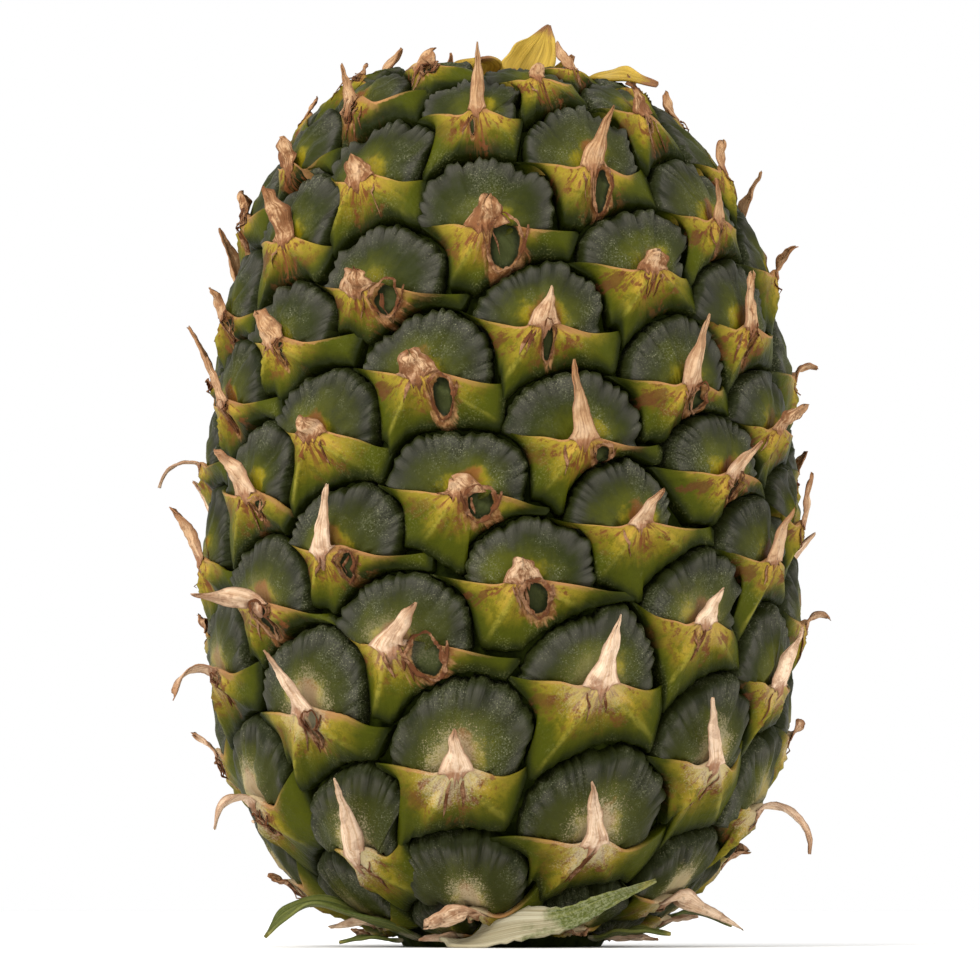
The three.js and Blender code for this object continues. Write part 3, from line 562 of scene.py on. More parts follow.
for side in (-2.2, 2.4):
    spot = paint.plus(paint.away(u, v, side, 1.4, 1.0), paint.times(cloud, 9.0))
    spot = paint.times(paint.step(spot, 7.6, 4.6), paint.step(paint.plus(seed, side * 0.1), 0.0, 0.5))
    paint.lay((0.26, 0.2, 0.006), spot, 0.75)
ember = paint.step(paint.plus(paint.away(u, v, 0.6, 1.4, 0.9), paint.times(cloud, 8.0)), 7.2, 5.4)
ember = paint.times(ember, paint.step(seed, 0.25, 0.7))
paint.lay((0.15, 0.052, 0.012), ember, 0.9)
# A painted shade line down the crease of the seam.
seam = paint.step(paint.math("ABSOLUTE", paint.plus(u, paint.times(cloud, 1.2))), 0.45, 0.05)
seam = paint.times(seam, paint.step(depth, 5.0, 1.0))
paint.lay((0.006, 0.008, 0.002), paint.times(seam, paint.times(seed, 0.5)))
speck = paint.noise(2600.0, 3.0, 0.75)
dust = paint.noise(120.0, 4.0, 0.65)
meal = paint.times(paint.step(speck, 0.44, 0.66), paint.step(dust, 0.42, 0.68))
paint.lay((0.15, 0.155, 0.09), meal, 0.34)
fleck = paint.times(paint.grit(3300.0, (0.45, 0.22), (0.7, 0.95)), paint.step(dust, 0.42, 0.66))
paint.lay((0.28, 0.27, 0.17), fleck, 0.5)
chaff = paint.plus(heart, paint.plus(paint.times(dust, 8.0), paint.times(speck, 13.0)))
scurf = paint.times(paint.step(chaff, 17.0, 12.6), paint.times(low_down, paint.step(seed, 0.0, 0.6)))
paint.lay((0.4, 0.33, 0.2), scurf, 0.75)
paint.coat(0.55, 0.09)
fine_grain = paint.noise(1000.0, 4.0, 0.6)
relief = paint.times(flutes, paint.step(depth, 5.0, 0.5, 0.04, 0.8))
relief = paint.plus(relief, paint.plus(paint.times(fine_grain, 0.3), paint.times(cloud, 0.6)))
paint.relief(relief, 0.48)
finish_piece(caps, paint.material, "rind", "fruit")

# ---- The bracts ------------------------------------------------------------------------------------------
# Under each cap sits the leaf that the flower grew from, fleshy and fused to the fruit: two wings drawn out to
# points, a raised nose in the middle, and two lobes that run down between the eyes below.

BRACT_COLUMNS = 51
BRACT_ROWS = np.array([0, 0.03, 0.07, 0.13, 0.2, 0.29, 0.39, 0.5, 0.61, 0.72, 0.81, 0.88, 0.935, 0.975,
                       1.0])
# Torn holes: across, up, half width and half height.
HOLES = {34: (4, -3.6, 3.2, 4.2), -21: (4, -2.8, 2.9, 4.0), 13: (3, -4.4, 2.0, 3.8),
         26: (2.4, -2.4, 2.6, 3.2),
         21: (1.2, -3.4, 1.0, 3.6), 42: (3, -4, 1.7, 3.4), 0: (3.8, -2.6, 2.5, 3.2), -8: (2.2, -3.5, 1.7,
                                                                                          2.8),
         -13: (2, -4.0, 2.1, 3.4), 8: (4.4, -3.0, 1.7, 1.7), 16: (3, -2.6, 1.8, 2.3), 47: (-1, -3.2, 0.5,
                                                                                           1.3),
         52: (-2.4, -2, 1.4, 1.8), 60: (2.4, -1.8, 2.2, 2.2), 3: (2, -3, 0.9, 2.8), 37: (1, -3, 0.7, 2.4),
         24: (1, -3, 0.8, 2.6), 50: (1, -3, 0.9, 0.9), -29: (2.2, -3, 1.4, 2.8), 18: (1, -3, 0.8, 2.4)}
WHOLE = (-26, -34, -39, -42, -47, -18, -5, -31, 29, 39, 5, 31, 44, -36, -44, -23, -10)


def torn_hole(eye):
    if eye in HOLES:
        return HOLES[eye]
    if eye in WHOLE or chance(eye, 21) > 0.4:
        return None
    return (1 + 3 * chance(eye, 22), -3 - chance(eye, 23), 0.8 + 1.8 * chance(eye, 24),
            1.8 + 1.8 * chance(eye, 25))


def bract_sheet(eye):
    s = np.linspace(0, 1, BRACT_COLUMNS)[None, :] * np.ones(len(BRACT_ROWS))[:, None]
    t = BRACT_ROWS[:, None] * np.ones(BRACT_COLUMNS)[None, :]
    rim, edge = rim_line(eye, BRACT_COLUMNS), bract_line(eye, BRACT_COLUMNS)
    flat = rim[None] + (edge - rim)[None] * t[..., None]
    length = np.hypot(*(edge - rim).T)[None, :] + 0 * t
    return s, t, flat, length


bracts = []
for eye in range(FIRST_EYE, LAST_EYE + 1):
    s, t, flat, length = bract_sheet(eye)
    height = bract_height(eye, s, t, flat, length)
    size = eye_size(eye)
    hole = torn_hole(eye)
    torn = np.zeros(s.shape + (3,))
    torn[..., :2] = 9.0
    if hole:
        torn[..., 0] = (flat[..., 0] - hole[0]) / hole[2]
        torn[..., 1] = (flat[..., 1] - hole[1]) / hole[3]
        inside = np.clip((1.0 - np.hypot(torn[..., 0], torn[..., 1])) / 0.3, 0, 1)
        height = height - 1.7 * inside * np.clip((height - GROOVE) / 4, 0, 1)
    # The edge is turned in behind the rim, down to the cap.
    lip = 0.45 * np.clip(1 - np.abs(2 * s[0] - 1) ** 4, 0, 1)
    back = np.stack([flat[0, :, 0], flat[0, :, 1] + 0.05], -1)
    under = np.stack([flat[0, :, 0] * 0.98, flat[0, :, 1] - 0.9], -1)
    rows = np.concatenate([under[None], back[None], flat])
    heights = np.concatenate([height[:1] - 2.6, height[:1] - lip - 0.2, height])
    place = out_of_eye(eye, rows)
    bract = blank_sheet(f"bract_{eye}", BRACT_COLUMNS, len(rows))
    place_points(bract, on_skin(place[..., 0], place[..., 1], heights * size))
    seed = np.full(rows.shape[:2], chance(eye, 31))
    first = lambda grid: np.concatenate([grid[:1], grid[:1], grid])
    mark(bract, "eye_place", np.stack([rows[..., 0] - nose_shift(eye, rows), rows[..., 1], seed], -1))
    mark(bract, "bract_place", np.stack([first(s), first(t * length), first((1 - t) * length)], -1))
    mark(bract, "torn_hole", first(torn))
    bracts.append(bract)
bracts = joined(bracts, "eye_bracts")

paint = Paint("fleshy_bract")
u, v, seed = paint.parts("eye_place")
along, down, low = paint.parts("bract_place")
hole_u, hole_v, _ = paint.parts("torn_hole")
seeded = paint.times(seed, 47.0)
away = paint.away(u, v, NOSE[0], 0.8, 1.15)
facing = paint.bearing(u, v, NOSE[0], 1.4)
cloud = paint.noise(150.0, 4.0, 0.6)
fibre = paint.noise(1.0, 3.0, 0.6,
                    place=paint.vector(paint.times(facing, 9.0), paint.times(away, 0.16), seeded))
reach = paint.shaken(away, cloud, 8.0)
reach = paint.shaken(reach, fibre, 5.0)
# The yellow runs out along the ridges to the lobes as a painted highlight, and the hollows between them stay green.
ridge_highlight = paint.step(paint.apart(facing, -2.13), 0.26, 0.0)
ridge_highlight = paint.plus(ridge_highlight, paint.step(paint.apart(facing, -0.67), 0.22, 0.0))
reach = paint.plus(reach, paint.minus(0.6, paint.times(ridge_highlight, 2.0)))
paint.colour = paint.mix(paint.step(reach, 2.5, 8.0), (0.37, 0.235, 0.035), (0.19, 0.146, 0.009))
paint.lay((0.044, 0.05, 0.001), paint.step(reach, 6.0, 14.0))
bearing = paint.bearing(u, v, NOSE[0], NOSE[1])
# A painted highlight along each fold line, from the nose out to the lobes.
for aim in FOLDS:
    off_line = paint.times(paint.apart(bearing, aim), away)
    off_line = paint.shaken(off_line, cloud, 1.6)
    fold = paint.times(paint.step(off_line, 0.9, 0.1), paint.step(away, 3.0, 6.0))
    paint.lay((0.25, 0.22, 0.03), fold, 0.5)
mottle = paint.noise(520.0, 5.0, 0.7)
mottled = paint.times(paint.step(mottle, 0.47, 0.6), paint.step(reach, 1.0, 7.0))
paint.lay((0.042, 0.046, 0.001), mottled, 0.5)
shade = paint.shaken(low, fibre, 3.0)
paint.lay((0.032, 0.037, 0.0005), paint.step(shade, 6.6, 1.4), 0.9)
# Yellow along the upper rim near the nose: partly the bract's own yellow, partly a painted highlight on its top edge.
rim_yellow_and_highlight = paint.times(paint.step(down, 3.2, 0.4),
                    paint.step(paint.plus(away, paint.times(cloud, 8.0)), 18.0, 10.0))
paint.lay((0.28, 0.2, 0.022), rim_yellow_and_highlight, 0.6)
# Painted shade along the lower edge, where the bract rolls under into the groove.
rolled_edge_shade = paint.shaken(low, mottle, 1.6)
paint.lay((0.009, 0.012, 0.0008), paint.step(rolled_edge_shade, 3.4, 0.7))
rust = paint.noise(1.0, 5.0, 0.7,
                   place=paint.vector(paint.times(facing, 3.4), paint.times(away, 0.34),
                                      paint.plus(seeded, 7.0)))
rusted = paint.times(paint.step(rust, 0.53, 0.62), paint.step(away, 13.0, 7.0))
paint.lay((0.1, 0.03, 0.009), rusted, 0.9)
bruise = paint.shaken(paint.away(u, v, -8.0, -3.2, 1.9), mottle, 12.0)
bruise = paint.shaken(bruise, fibre, 12.0)
bruise = paint.times(paint.step(bruise, 3.6, 1.6), paint.step(seed, 0.25, 0.6, 0.25, 0.75))
paint.lay((0.072, 0.022, 0.008), bruise)
tanned = paint.times(paint.step(mottle, 0.5, 0.38), paint.step(away, 11.0, 4.0))
paint.lay((0.17, 0.08, 0.022), tanned, 0.4)
fan = paint.step(paint.plus(away, paint.times(fibre, 8.0)), 7.6, 5.0)
height_on_fruit = paint.split(paint.object_place)[2]
fan_colour = paint.mix(paint.step(height_on_fruit, 0.09, 0.05), (0.21, 0.085, 0.028), (0.44, 0.26, 0.105))
paint.lay(fan_colour, fan, 0.8)
below_nose = paint.step(paint.apart(bearing, -1.5), 0.7, 0.25)
drip = paint.times(paint.step(fibre, 0.46, 0.56), paint.step(reach, 12.0, 6.0))
drip = paint.times(paint.times(drip, below_nose), paint.step(v, -1.0, -2.6))
paint.lay((0.125, 0.042, 0.012), drip, 0.75)
streak_at = paint.plus(paint.times(facing, 3.4), paint.times(seed, 3.0))
streak_at = paint.shaken(streak_at, cloud, 1.2)
streak = paint.step(paint.apart(paint.math("FRACT", streak_at), 0.5), 0.2, 0.09)
streak = paint.times(streak, paint.step(rust, 0.44, 0.5))
streak_long = paint.shaken(away, cloud, 6.0)
streak = paint.times(streak,
                     paint.times(paint.step(streak_long, 2.0, 3.0), paint.step(streak_long, 7.8, 6.0)))
streak = paint.times(streak, paint.step(v, -0.5, -2.2))
paint.lay((0.135, 0.045, 0.014), streak, 0.85)
edge_noise = paint.noise(420.0, 4.0, 0.65)
dry_edge = paint.step(paint.minus(down, paint.times(edge_noise, 1.3)), -0.2, -0.45)
near_tip = paint.step(paint.apart(along, 0.5), 0.4, 0.06)
paint.lay((0.32, 0.16, 0.06), paint.times(dry_edge, near_tip))
# Where the bract is torn, its rim has dried to a tan hem as far as the wing.
hem = paint.shaken(down, edge_noise, 2.4)
hem = paint.times(paint.step(hem, 1.3, 0.5), paint.step(hole_u, 8.6, 8.0))
hem = paint.times(hem, paint.times(paint.step(u, 0.0, 2.0), paint.step(u, 14.0, 5.0)))
paint.lay((0.27, 0.13, 0.052), hem, 0.8)
hole = paint.length(hole_u, hole_v)
hole = paint.shaken(hole, edge_noise, 0.35)
withered = paint.shaken(hole, fibre, 2.2)
withered = paint.times(paint.step(withered, 1.75, 1.2), paint.step(hole_v, 2.4, 1.2))
dried = paint.mix(paint.step(mottle, 0.42, 0.6), (0.135, 0.05, 0.016), (0.3, 0.155, 0.066))
paint.lay(dried, withered, 0.85)
# Through the hole the cap shows dark green, with a painted shadow just under the torn edge.
inside = paint.mix(paint.step(hole, 0.95, 0.45), (0.006, 0.008, 0.002), (0.036, 0.042, 0.012))
paint.lay(inside, paint.step(hole, 0.98, 0.88))
speck = paint.noise(2600.0, 3.0, 0.75)
meal = paint.times(paint.step(speck, 0.5, 0.68), paint.step(cloud, 0.5, 0.66))
paint.lay((0.3, 0.3, 0.12), meal, 0.2)
low_down = paint.step(height_on_fruit, 0.07, 0.02)
scurf = paint.step(paint.plus(away, paint.plus(paint.times(cloud, 10.0), paint.times(speck, 12.0))), 19.0,
                   13.5)
paint.lay((0.46, 0.4, 0.25), paint.times(scurf, paint.times(low_down, 0.7)))
paint.coat(0.5, 0.05)
grain = paint.noise(800.0, 4.0, 0.6)
paint.relief(paint.plus(paint.times(fibre, 0.5),
                        paint.plus(paint.times(grain, 0.4), paint.times(cloud, 0.7))), 0.5)
finish_piece(bracts, paint.material, "bract", "fruit")

# ---- The dry tips ----------------------------------------------------------------------------------------
# The point of every bract has died back to thin tan paper. Some still stand as long triangles, some are torn
# to a ragged stub, and where the sepals split a brown thread hangs round the hole.

# Length, lean towards +X in degrees, width, lift off the skin at the root and at the end, raggedness, curl.
TIPS = {
    47: (15.7, -4, 4.2, 22, 17, 0.15, 0), 39: (4.5, -25, 7, 28, 40, 0.9, 0), 34: (5.5, 5, 8.4, 30, 50, 0.9,
                                                                                  10),
    42: (12.0, 22, 5.4, 24, 33, 0.3, 0), 26: (5.0, 12, 7.5, 30, 50, 0.9, 0), 21: (6.7, 13, 5.6, 13, 20, 0.4,
                                                                                  0),
    29: (3.6, 25, 7, 30, 50, 0.9, 0), 13: (5, -25, 7.5, 25, 40, 0.9, 0), 8: (15.2, -15, 5.4, 20, 22, 0.15,
                                                                             0),
    16: (13.0, 1, 4.8, 22, 18, 0.15, 8), 5: (4.5, -10, 7.5, 30, 60, 0.9, 30), 0: (3.2, -40, 8, 10, -20, 0.8,
                                                                                  0),
    -8: (13.4, 15, 5.6, 17, 3, 0.15, 0), -13: (4.4, 5, 6, 30, 40, 0.9, 0), -5: (7.8, 21, 4.6, 41, 24, 0.4,
                                                                                10),
    -21: (11.8, 42, 7.0, 24, 15, 0.15, 0), -26: (14.0, 5, 6.2, 29, 15, 0.15, 0), -18: (7.0, 11, 5.4, 26, 18,
                                                                                       0.3, 8),
    -34: (8.3, 3, 6.0, 23, 11, 0.25, 0), -39: (16.9, -20, 5.6, 9, 11, 0.15, 0), -31: (15.3, -37, 5.4, 5, 8,
                                                                                      0.15, 8),
    -29: (13.6, -8, 5.0, 25, 27, 0.15, 0), -42: (22.0, 17, 6.6, 0, 12, 0.15, 0), -47: (12.2, -100, 9, 13,
                                                                                       18, 0.6, 0),
    3: (8.0, 35, 5.0, 22, 35, 0.3, 0), 37: (7.6, -16, 4.4, 20, 23, 0.15, 0), 24: (10.2, 4, 5, 2, 8, 0.6, 0),
    50: (6, -20, 8.4, 25, 50, 0.9, 0), 52: (9.0, -14, 5.4, 40, 60, 0.2, 0), 44: (5.5, -35, 6, 31, 38, 0.9,
                                                                                 0),
    31: (11.9, -34, 6.6, 10, 19, 0.9, 0), 18: (6.4, -30, 6.6, 7, 21, 0.6, 0), -3: (9.2, -20, 6.4, 22, 41,
                                                                                   0.5, 0),
    -16: (12.6, -79, 6.6, 46, 80, 0.4, 0), -23: (11.5, 13, 7.0, 5, 10, 0.3, 0), -10: (10.1, 13, 6.2, 6, 24,
                                                                                      0.6, 0),
    11: (6.8, 26, 6, 40, 59, 0.9, 0), -36: (15.1, -7, 5.4, 60, 160, 0.15, 0), -37: (10.5, 0, 6, 56, 160,
                                                                                    0.15, 0),
    -44: (21.0, 86, 7.6, 22, 38, 0.4, 0), -11: (11.4, 10, 6.4, 12, 48, 0.5, 0), 2: (10.3, -3, 5.6, 80, 170,
                                                                                    0.3, 0),
    10: (8.7, -14, 5.4, 12, 20, 0.3, 0), -24: (12.0, -20, 6.4, 74, 180, 0.5, 0), -32: (6, 0, 6, 30, 45, 0.5,
                                                                                       0),
    23: (5.2, -6, 5.4, 25, 52, 0.7, 20), 32: (7.9, -60, 4.6, 26, 53, 0.4, 0), 45: (5, 0, 5.4, 20, 45, 0.5,
                                                                                   0),
    19: (5, 0, 4.6, 40, 150, 0.7, 0), -2: (10.0, -20, 4.6, 4, 16, 0.5, 0), -15: (5, 0, 5, 40, 150, 0.6, 0),
    6: (4.5, -22, 5, 14, 31, 0.8, 0), 40: (13.0, -50, 4.6, 18, 24, 0.3, 0), 49: (4, 0, 5, 15, 25, 0.8, 0),
    55: (4.2, 23, 4.6, 20, 28, 0.6, 0), 57: (4, 0, 5, 20, 30, 0.9, 0), 60: (5.9, 34, 9, 22, 26, 0.6, 0),
    53: (6, 0, 7, 20, 40, 0.5, 0),
}
TIP_COLUMNS, TIP_ROWS = 11, 17


def tip_style(eye):
    if eye in TIPS:
        return TIPS[eye]
    draw = [chance(eye, 40 + n) for n in range(6)]
    ragged = 0.9 if draw[0] < 0.35 else 0.2
    length = 3.5 + 2.5 * draw[1] if ragged > 0.5 else 7 + 6 * draw[1]
    return (length, 60 * (draw[2] - 0.5), 6 + 1.8 * draw[3], 15 + 20 * draw[4], 15 + 40 * draw[5], ragged,
            0)


def on_bract(eye, flat, lift):
    place = out_of_eye(eye, flat)
    return on_skin(place[..., 0], place[..., 1], (bract_surface(eye, flat)[0] + lift) * eye_size(eye))


def wobble(places, size):
    """A small uneven shift for every point, the same wherever the point is reached from."""
    turned = places @ np.array([[0.9, 1.7, -0.8], [-1.3, 0.7, 1.9], [1.1, -1.4, 0.6]]) / size
    return np.sin(turned) + 0.5 * np.sin(2.3 * turned[..., [1, 2, 0]] + 1.3)


tips = []
for eye in range(FIRST_EYE, LAST_EYE + 1):
    length, lean, width, lift_root, lift_end, ragged, curl = tip_style(eye)
    size = eye_size(eye)
    rng = np.random.default_rng(900 + eye)
    centre = eye_place(eye)
    here, east, raised = (on_skin(centre[0] + a, centre[1], b) for a, b in ((0, 0), (0.5, 0), (0, 1)))
    east = (east - here) / np.linalg.norm(east - here)
    out = (raised - here) / np.linalg.norm(raised - here)
    north = np.cross(out, east)
    side = np.linspace(-1, 1, TIP_COLUMNS)
    # The root lies on the bract's face as a ragged point of dry fibre, and spreads a little at the rim.
    at_u = NOSE[0] + NOSE_SHIFTS.get(eye, 0)
    frayed = rng.uniform(0.5, 1.25, TIP_COLUMNS)
    rows, marks = [], []
    for down, wide, lift in ((3.2, 0.30, 0.02), (2.0, 0.36, 0.10), (0.9, 0.46, 0.22), (0.0, 0.56, 0.40)):
        spread = at_u + side * width * wide
        rim_v = np.interp(spread, *rim_line(eye, 61).T)
        drop = down * (1 - 0.72 * np.abs(side) ** 1.4) * (frayed if down > 1 else 1)
        rows.append(on_bract(eye, np.stack([spread, rim_v - drop], -1), lift))
        marks.append(np.stack([0 * side - 0.12 * down, side, 0 * side + chance(eye, 50)], -1))
    ends = 1 - ragged * 0.5 * np.abs(np.interp(np.linspace(0, 4, TIP_COLUMNS), range(5),
                                               rng.uniform(-0.4, 1, 5)))
    ends = ends - ragged**2 * rng.uniform(0, 0.45, TIP_COLUMNS) * (length < 8)
    centre_line, reached = rows[-1][TIP_COLUMNS // 2].copy(), 0.0
    rim_across = rows[-1] - centre_line
    fold = rng.uniform(-0.5, 0.5, 3)
    for row in np.linspace(0, 1, TIP_ROWS)[1:]:
        lift = math.radians(lift_root + (lift_end - lift_root) * row)
        aim = math.radians(lean + curl * row)
        ahead = math.cos(lift) * (math.cos(aim) * north + math.sin(aim) * east) + math.sin(lift) * out
        across = math.cos(aim) * east - math.sin(aim) * north
        face = np.cross(across, ahead)
        centre_line = centre_line + ahead * (row - reached) * length * size * 0.001
        reached = row
        taper = (1 - row) ** (0.9 if ragged < 0.5 else 0.3)
        half = width * size * 0.00042 * taper * (0.9 + 0.12 * math.sin(row * 9 + fold[0] * 9)) + 0.00012
        cup = (side**2 - 0.35) * half * (0.6 + fold[1]) + 0.00022 * np.sin(side * 5 + fold[2] * 8 + row * 4)
        line = centre_line + across * (side * half)[:, None] - face * cup[:, None]
        line = line - ahead * ((1 - ends) * row * length * size * 0.001)[:, None]
        flare = math.exp(-row * length / 0.9)
        low_line = centre_line + rim_across - ahead * (np.abs(side) ** 2 * row * length * size * 0.0005)[:,
                                                                                                         None]
        line = line * (1 - flare) + low_line * flare
        line = line + wobble(line * 1000 + eye, 1.6) * 0.00009 * (1 + 2.4 * ragged) * min(1, row * 4)
        rows.append(line)
        marks.append(np.stack([0 * side + row, side, 0 * side + chance(eye, 50)], -1))
    tip = blank_sheet(f"tip_{eye}", TIP_COLUMNS, len(rows))
    place_points(tip, np.array(rows))
    mark(tip, "tip_place", np.array(marks))
    mark(tip, "tip_age", np.full((len(rows), TIP_COLUMNS, 3), ragged))
    tips.append(tip)


def thread(eye, flat, lift, wide, name):
    """A dry fibre lying on the bract along flat points; it closes on itself when its ends meet."""
    line = on_bract(eye, flat, lift)
    closed = np.allclose(flat[0], flat[-1])
    ahead = np.gradient(line, axis=0)
    if closed:
        ahead[0] = ahead[-1] = line[1] - line[-2]
    ahead /= np.linalg.norm(ahead, axis=1)[:, None]
    up = line - [0, 0, 0.07]
    up /= np.linalg.norm(up, axis=1)[:, None]
    across = np.cross(ahead, up)
    around = np.linspace(0, 2 * math.pi, 7)
    wide = np.broadcast_to(wide, len(flat)) * 0.0005
    rings = line[:, None] + across[:, None] * (np.cos(around) * wide[:, None])[..., None]
    rings = rings + up[:, None] * (np.sin(around) * (0.00012 + 0.12 * wide[:, None]))[..., None]
    tube = blank_sheet(name, 7, len(flat))
    place_points(tube, rings)
    share = np.linspace(0, 1, len(flat))[:, None]
    mark(tube, "tip_place",
         np.stack(np.broadcast_arrays(share * 0.1 - 0.26, np.cos(around)[None], chance(eye, 51)), -1))
    mark(tube, "tip_age", np.full((len(flat), 7, 3), 1.5))
    return tube


threads = []
for eye in range(FIRST_EYE, LAST_EYE + 1):
    rng = np.random.default_rng(300 + eye)
    hole = torn_hole(eye)
    if hole:
        round_it = np.linspace(0, 2 * math.pi, 61)
        uneven = 1.08 + 0.08 * np.sin(3 * round_it + rng.uniform(0,
                                                                 6)) + 0.05 * np.sin(7 * round_it + rng.uniform(0, 6))
        flat = np.stack([hole[0] + hole[2] * uneven * np.sin(round_it),
                         hole[1] + hole[3] * uneven * np.cos(round_it)], -1)
        lift = 0.45 + 0.3 * np.sin(2 * round_it + rng.uniform(0, 6)) + 0.5 * np.cos(round_it).clip(0)
        torn_edge = np.append(rng.uniform(-0.25, 0.5, 60), 0)
        torn_edge[-1] = torn_edge[0]
        wide = 0.4 + 0.5 * np.abs(np.sin(round_it + rng.uniform(-0.5,
                                                                0.5))) + 0.2 * np.sin(5 * round_it) + torn_edge
        wide = wide * min(1, hole[2] / 2.2)
        threads.append(thread(eye, flat, lift, wide, f"ring_{eye}"))
        along = np.linspace(0, 1, 14)
        for side in (-1, 1):
            u = hole[0] + side * hole[2] * (1.45 - rng.uniform(0.9, 1.3) * along**1.6)
            v = hole[1] + hole[3] * (0.7 - rng.uniform(1.7, 2.1) * along)
            wide = min(1, hole[2] / 2.2) * rng.uniform(0.5,
                                                       1.0) * np.sin(math.pi * (0.12 + 0.88 * along)) + 0.05
            threads.append(thread(eye, np.stack([u, v], -1), 0.2 + 0.15 * np.sin(along * 5), wide,
                                  f"strand_{eye}_{side}"))
    for n in range(rng.integers(1, 4)):
        start_u, reach = rng.uniform(-3.4, 3.0), rng.uniform(3.0, 6.0)
        way = rng.uniform(-0.45, 0.45) + start_u * 0.06
        along = np.linspace(0, 1, 12)
        u = start_u + way * reach * along + 0.12 * np.sin(along * 7 + rng.uniform(0, 6))
        v = -1.6 - reach * along
        threads.append(thread(eye, np.stack([u, v], -1),
                              0.10 + 0.12 * np.sin(along * 3) * rng.uniform(0.2, 1),
                              rng.uniform(0.5,
                                          1.1) * np.sin(math.pi * (0.1 + 0.9 * along)) + 0.05, f"thread_{eye}_{n}"))

tips = joined(tips, "dry_tips")
paper = tips.modifiers.new("paper", "SOLIDIFY")
paper.thickness, paper.offset = 0.00022, 0.0
bpy.ops.object.modifier_apply(modifier="paper")
threads = joined(threads, "torn_threads")

paint = Paint("dry_paper")
share, side, seed = paint.parts("tip_place")
seeded = paint.times(seed, 31.0)
fibre = paint.noise(1.0, 4.0, 0.65,
                    place=paint.vector(paint.times(side, 6.0), paint.times(share, 1.6), seeded))
blotch = paint.noise(260.0, 4.0, 0.65)
height_on_fruit = paint.split(paint.object_place)[2]
pale = paint.step(paint.shaken(height_on_fruit, seed, 0.05), 0.135, 0.035)
torn_off, _, _ = paint.parts("tip_age")
pale = paint.times(pale, paint.step(torn_off, 0.9, 0.2, 0.25, 1.0))
dull = paint.mix(paint.step(fibre, 0.32, 0.62), (0.22, 0.1, 0.038), (0.47, 0.285, 0.145))
light = paint.mix(paint.step(fibre, 0.3, 0.62), (0.5, 0.31, 0.175), (0.74, 0.55, 0.39))
paint.colour = paint.mix(pale, dull, light)
paint.lay((0.78, 0.61, 0.44),
          paint.times(paint.step(blotch, 0.5, 0.68), paint.plus(paint.times(pale, 0.45), 0.15)))
paint.lay((0.21, 0.09, 0.038),
          paint.times(paint.step(blotch, 0.5, 0.38), paint.step(torn_off, 0.0, 0.9, 0.35, 0.8)))
uneven = paint.swing(blotch, 0.7)
rooted = paint.step(paint.plus(share, uneven), 0.06, -0.22)
paint.lay((0.22, 0.085, 0.034), rooted, 0.75)
edge = paint.step(paint.plus(paint.math("ABSOLUTE", side), uneven), 0.75, 1.05)
paint.lay((0.19, 0.072, 0.03), edge, 0.6)
withered = paint.times(paint.step(paint.plus(share, uneven), 0.62, 0.92), paint.step(seed, 0.2, 0.6))
paint.lay((0.26, 0.115, 0.045), withered, 0.7)
stained = paint.shaken(blotch, fibre, 0.6)
stained = paint.times(paint.step(stained, 0.6, 0.42), paint.step(torn_off, 0.6, 0.9))
paint.lay((0.15, 0.058, 0.02), stained, 0.8)
brown = paint.mix(paint.step(blotch, 0.46, 0.6), (0.125, 0.04, 0.012), (0.36, 0.19, 0.095))
paint.lay(brown, paint.step(torn_off, 1.0, 1.4, 0.0, 0.85))
spot = paint.grit(1100.0, (0.36, 0.24), (0.62, 0.7))
spotted = paint.times(spot, paint.step(torn_off, 0.0, 0.8, 0.1, 0.5))
paint.lay((0.085, 0.04, 0.02), spotted)
paint.coat(0.8, 0.15)
paint.relief(paint.plus(fibre, paint.times(blotch, 0.8)), 0.5)
finish_piece(tips, paint.material, "dry_bract", "fruit")
finish_piece(threads, paint.material, "dry_bract", "fruit")

# ---- The crown's torn leaves -----------------------------------------------------------------------------
# The crown was twisted off. Six leaf bases are left round the broken core: soft, yellow where they were shaded,
# dried brown at the ends, each clasping the core with its root.

# The middle line, the width at each of its points, the way the upper side looks at root and end, and the dish.
CROWN_LEAVES = {
    "crown_leaf_tall": ([(4.2, -11.4, 167.5), (5.4, -12.2, 172.6), (7.6, -12, 177.2), (9.2, -10.6, 182)],
                        [8, 10.8, 7.2, 0.5], [(0, -1, 0.1), (-0.3, -1, 0.3)], 0.45),
    "crown_leaf_front": ([(-4, -11.6, 167.5), (-4, -12.8, 171.4), (-2.8, -15.4, 173.6), (-4.4, -19, 174.2)],
                         [4.6, 6.2, 5.4, 1.2], [(0.3, 0.8, 0.8), (0.1, 0.2, 1)], 0.3),
    "crown_leaf_scrap": ([(10.4, -7.6, 167.5), (11.6, -9.6, 172), (14, -10.8, 176)],
                         [4.6, 4.6, 0.6], [(0.5, -0.9, 0.3), (0.1, -1, 0.4)], 0.3),
    "crown_leaf_low": ([(12.4, 1, 167.5), (18, -3.8, 171.4), (23.4, -9.8, 171.6), (30.6, -13.6, 169.6)],
                       [5.4, 7, 6.2, 1.2], [(-0.5, 0, 1), (0, -0.7, 1)], 0.3),
    "crown_leaf_back": ([(-2, 11.4, 167.5), (-3, 12.6, 172.5), (-6.4, 13.6, 176), (-11, 14, 176.8)],
                        [8, 9, 6, 0.6], [(0.1, 1, 0.1), (0.4, 0.7, 0.8)], 0.35),
    "crown_leaf_side": ([(-11.6, 0, 167.5), (-12.8, 1, 172), (-16, 2.6, 174.6), (-20, 3, 174)],
                        [7, 7.4, 5.4, 0.8], [(1, 0, 0.7), (0.2, 0, 1)], 0.3),
}
LEAF_COLUMNS, LEAF_ROWS = 15, 41


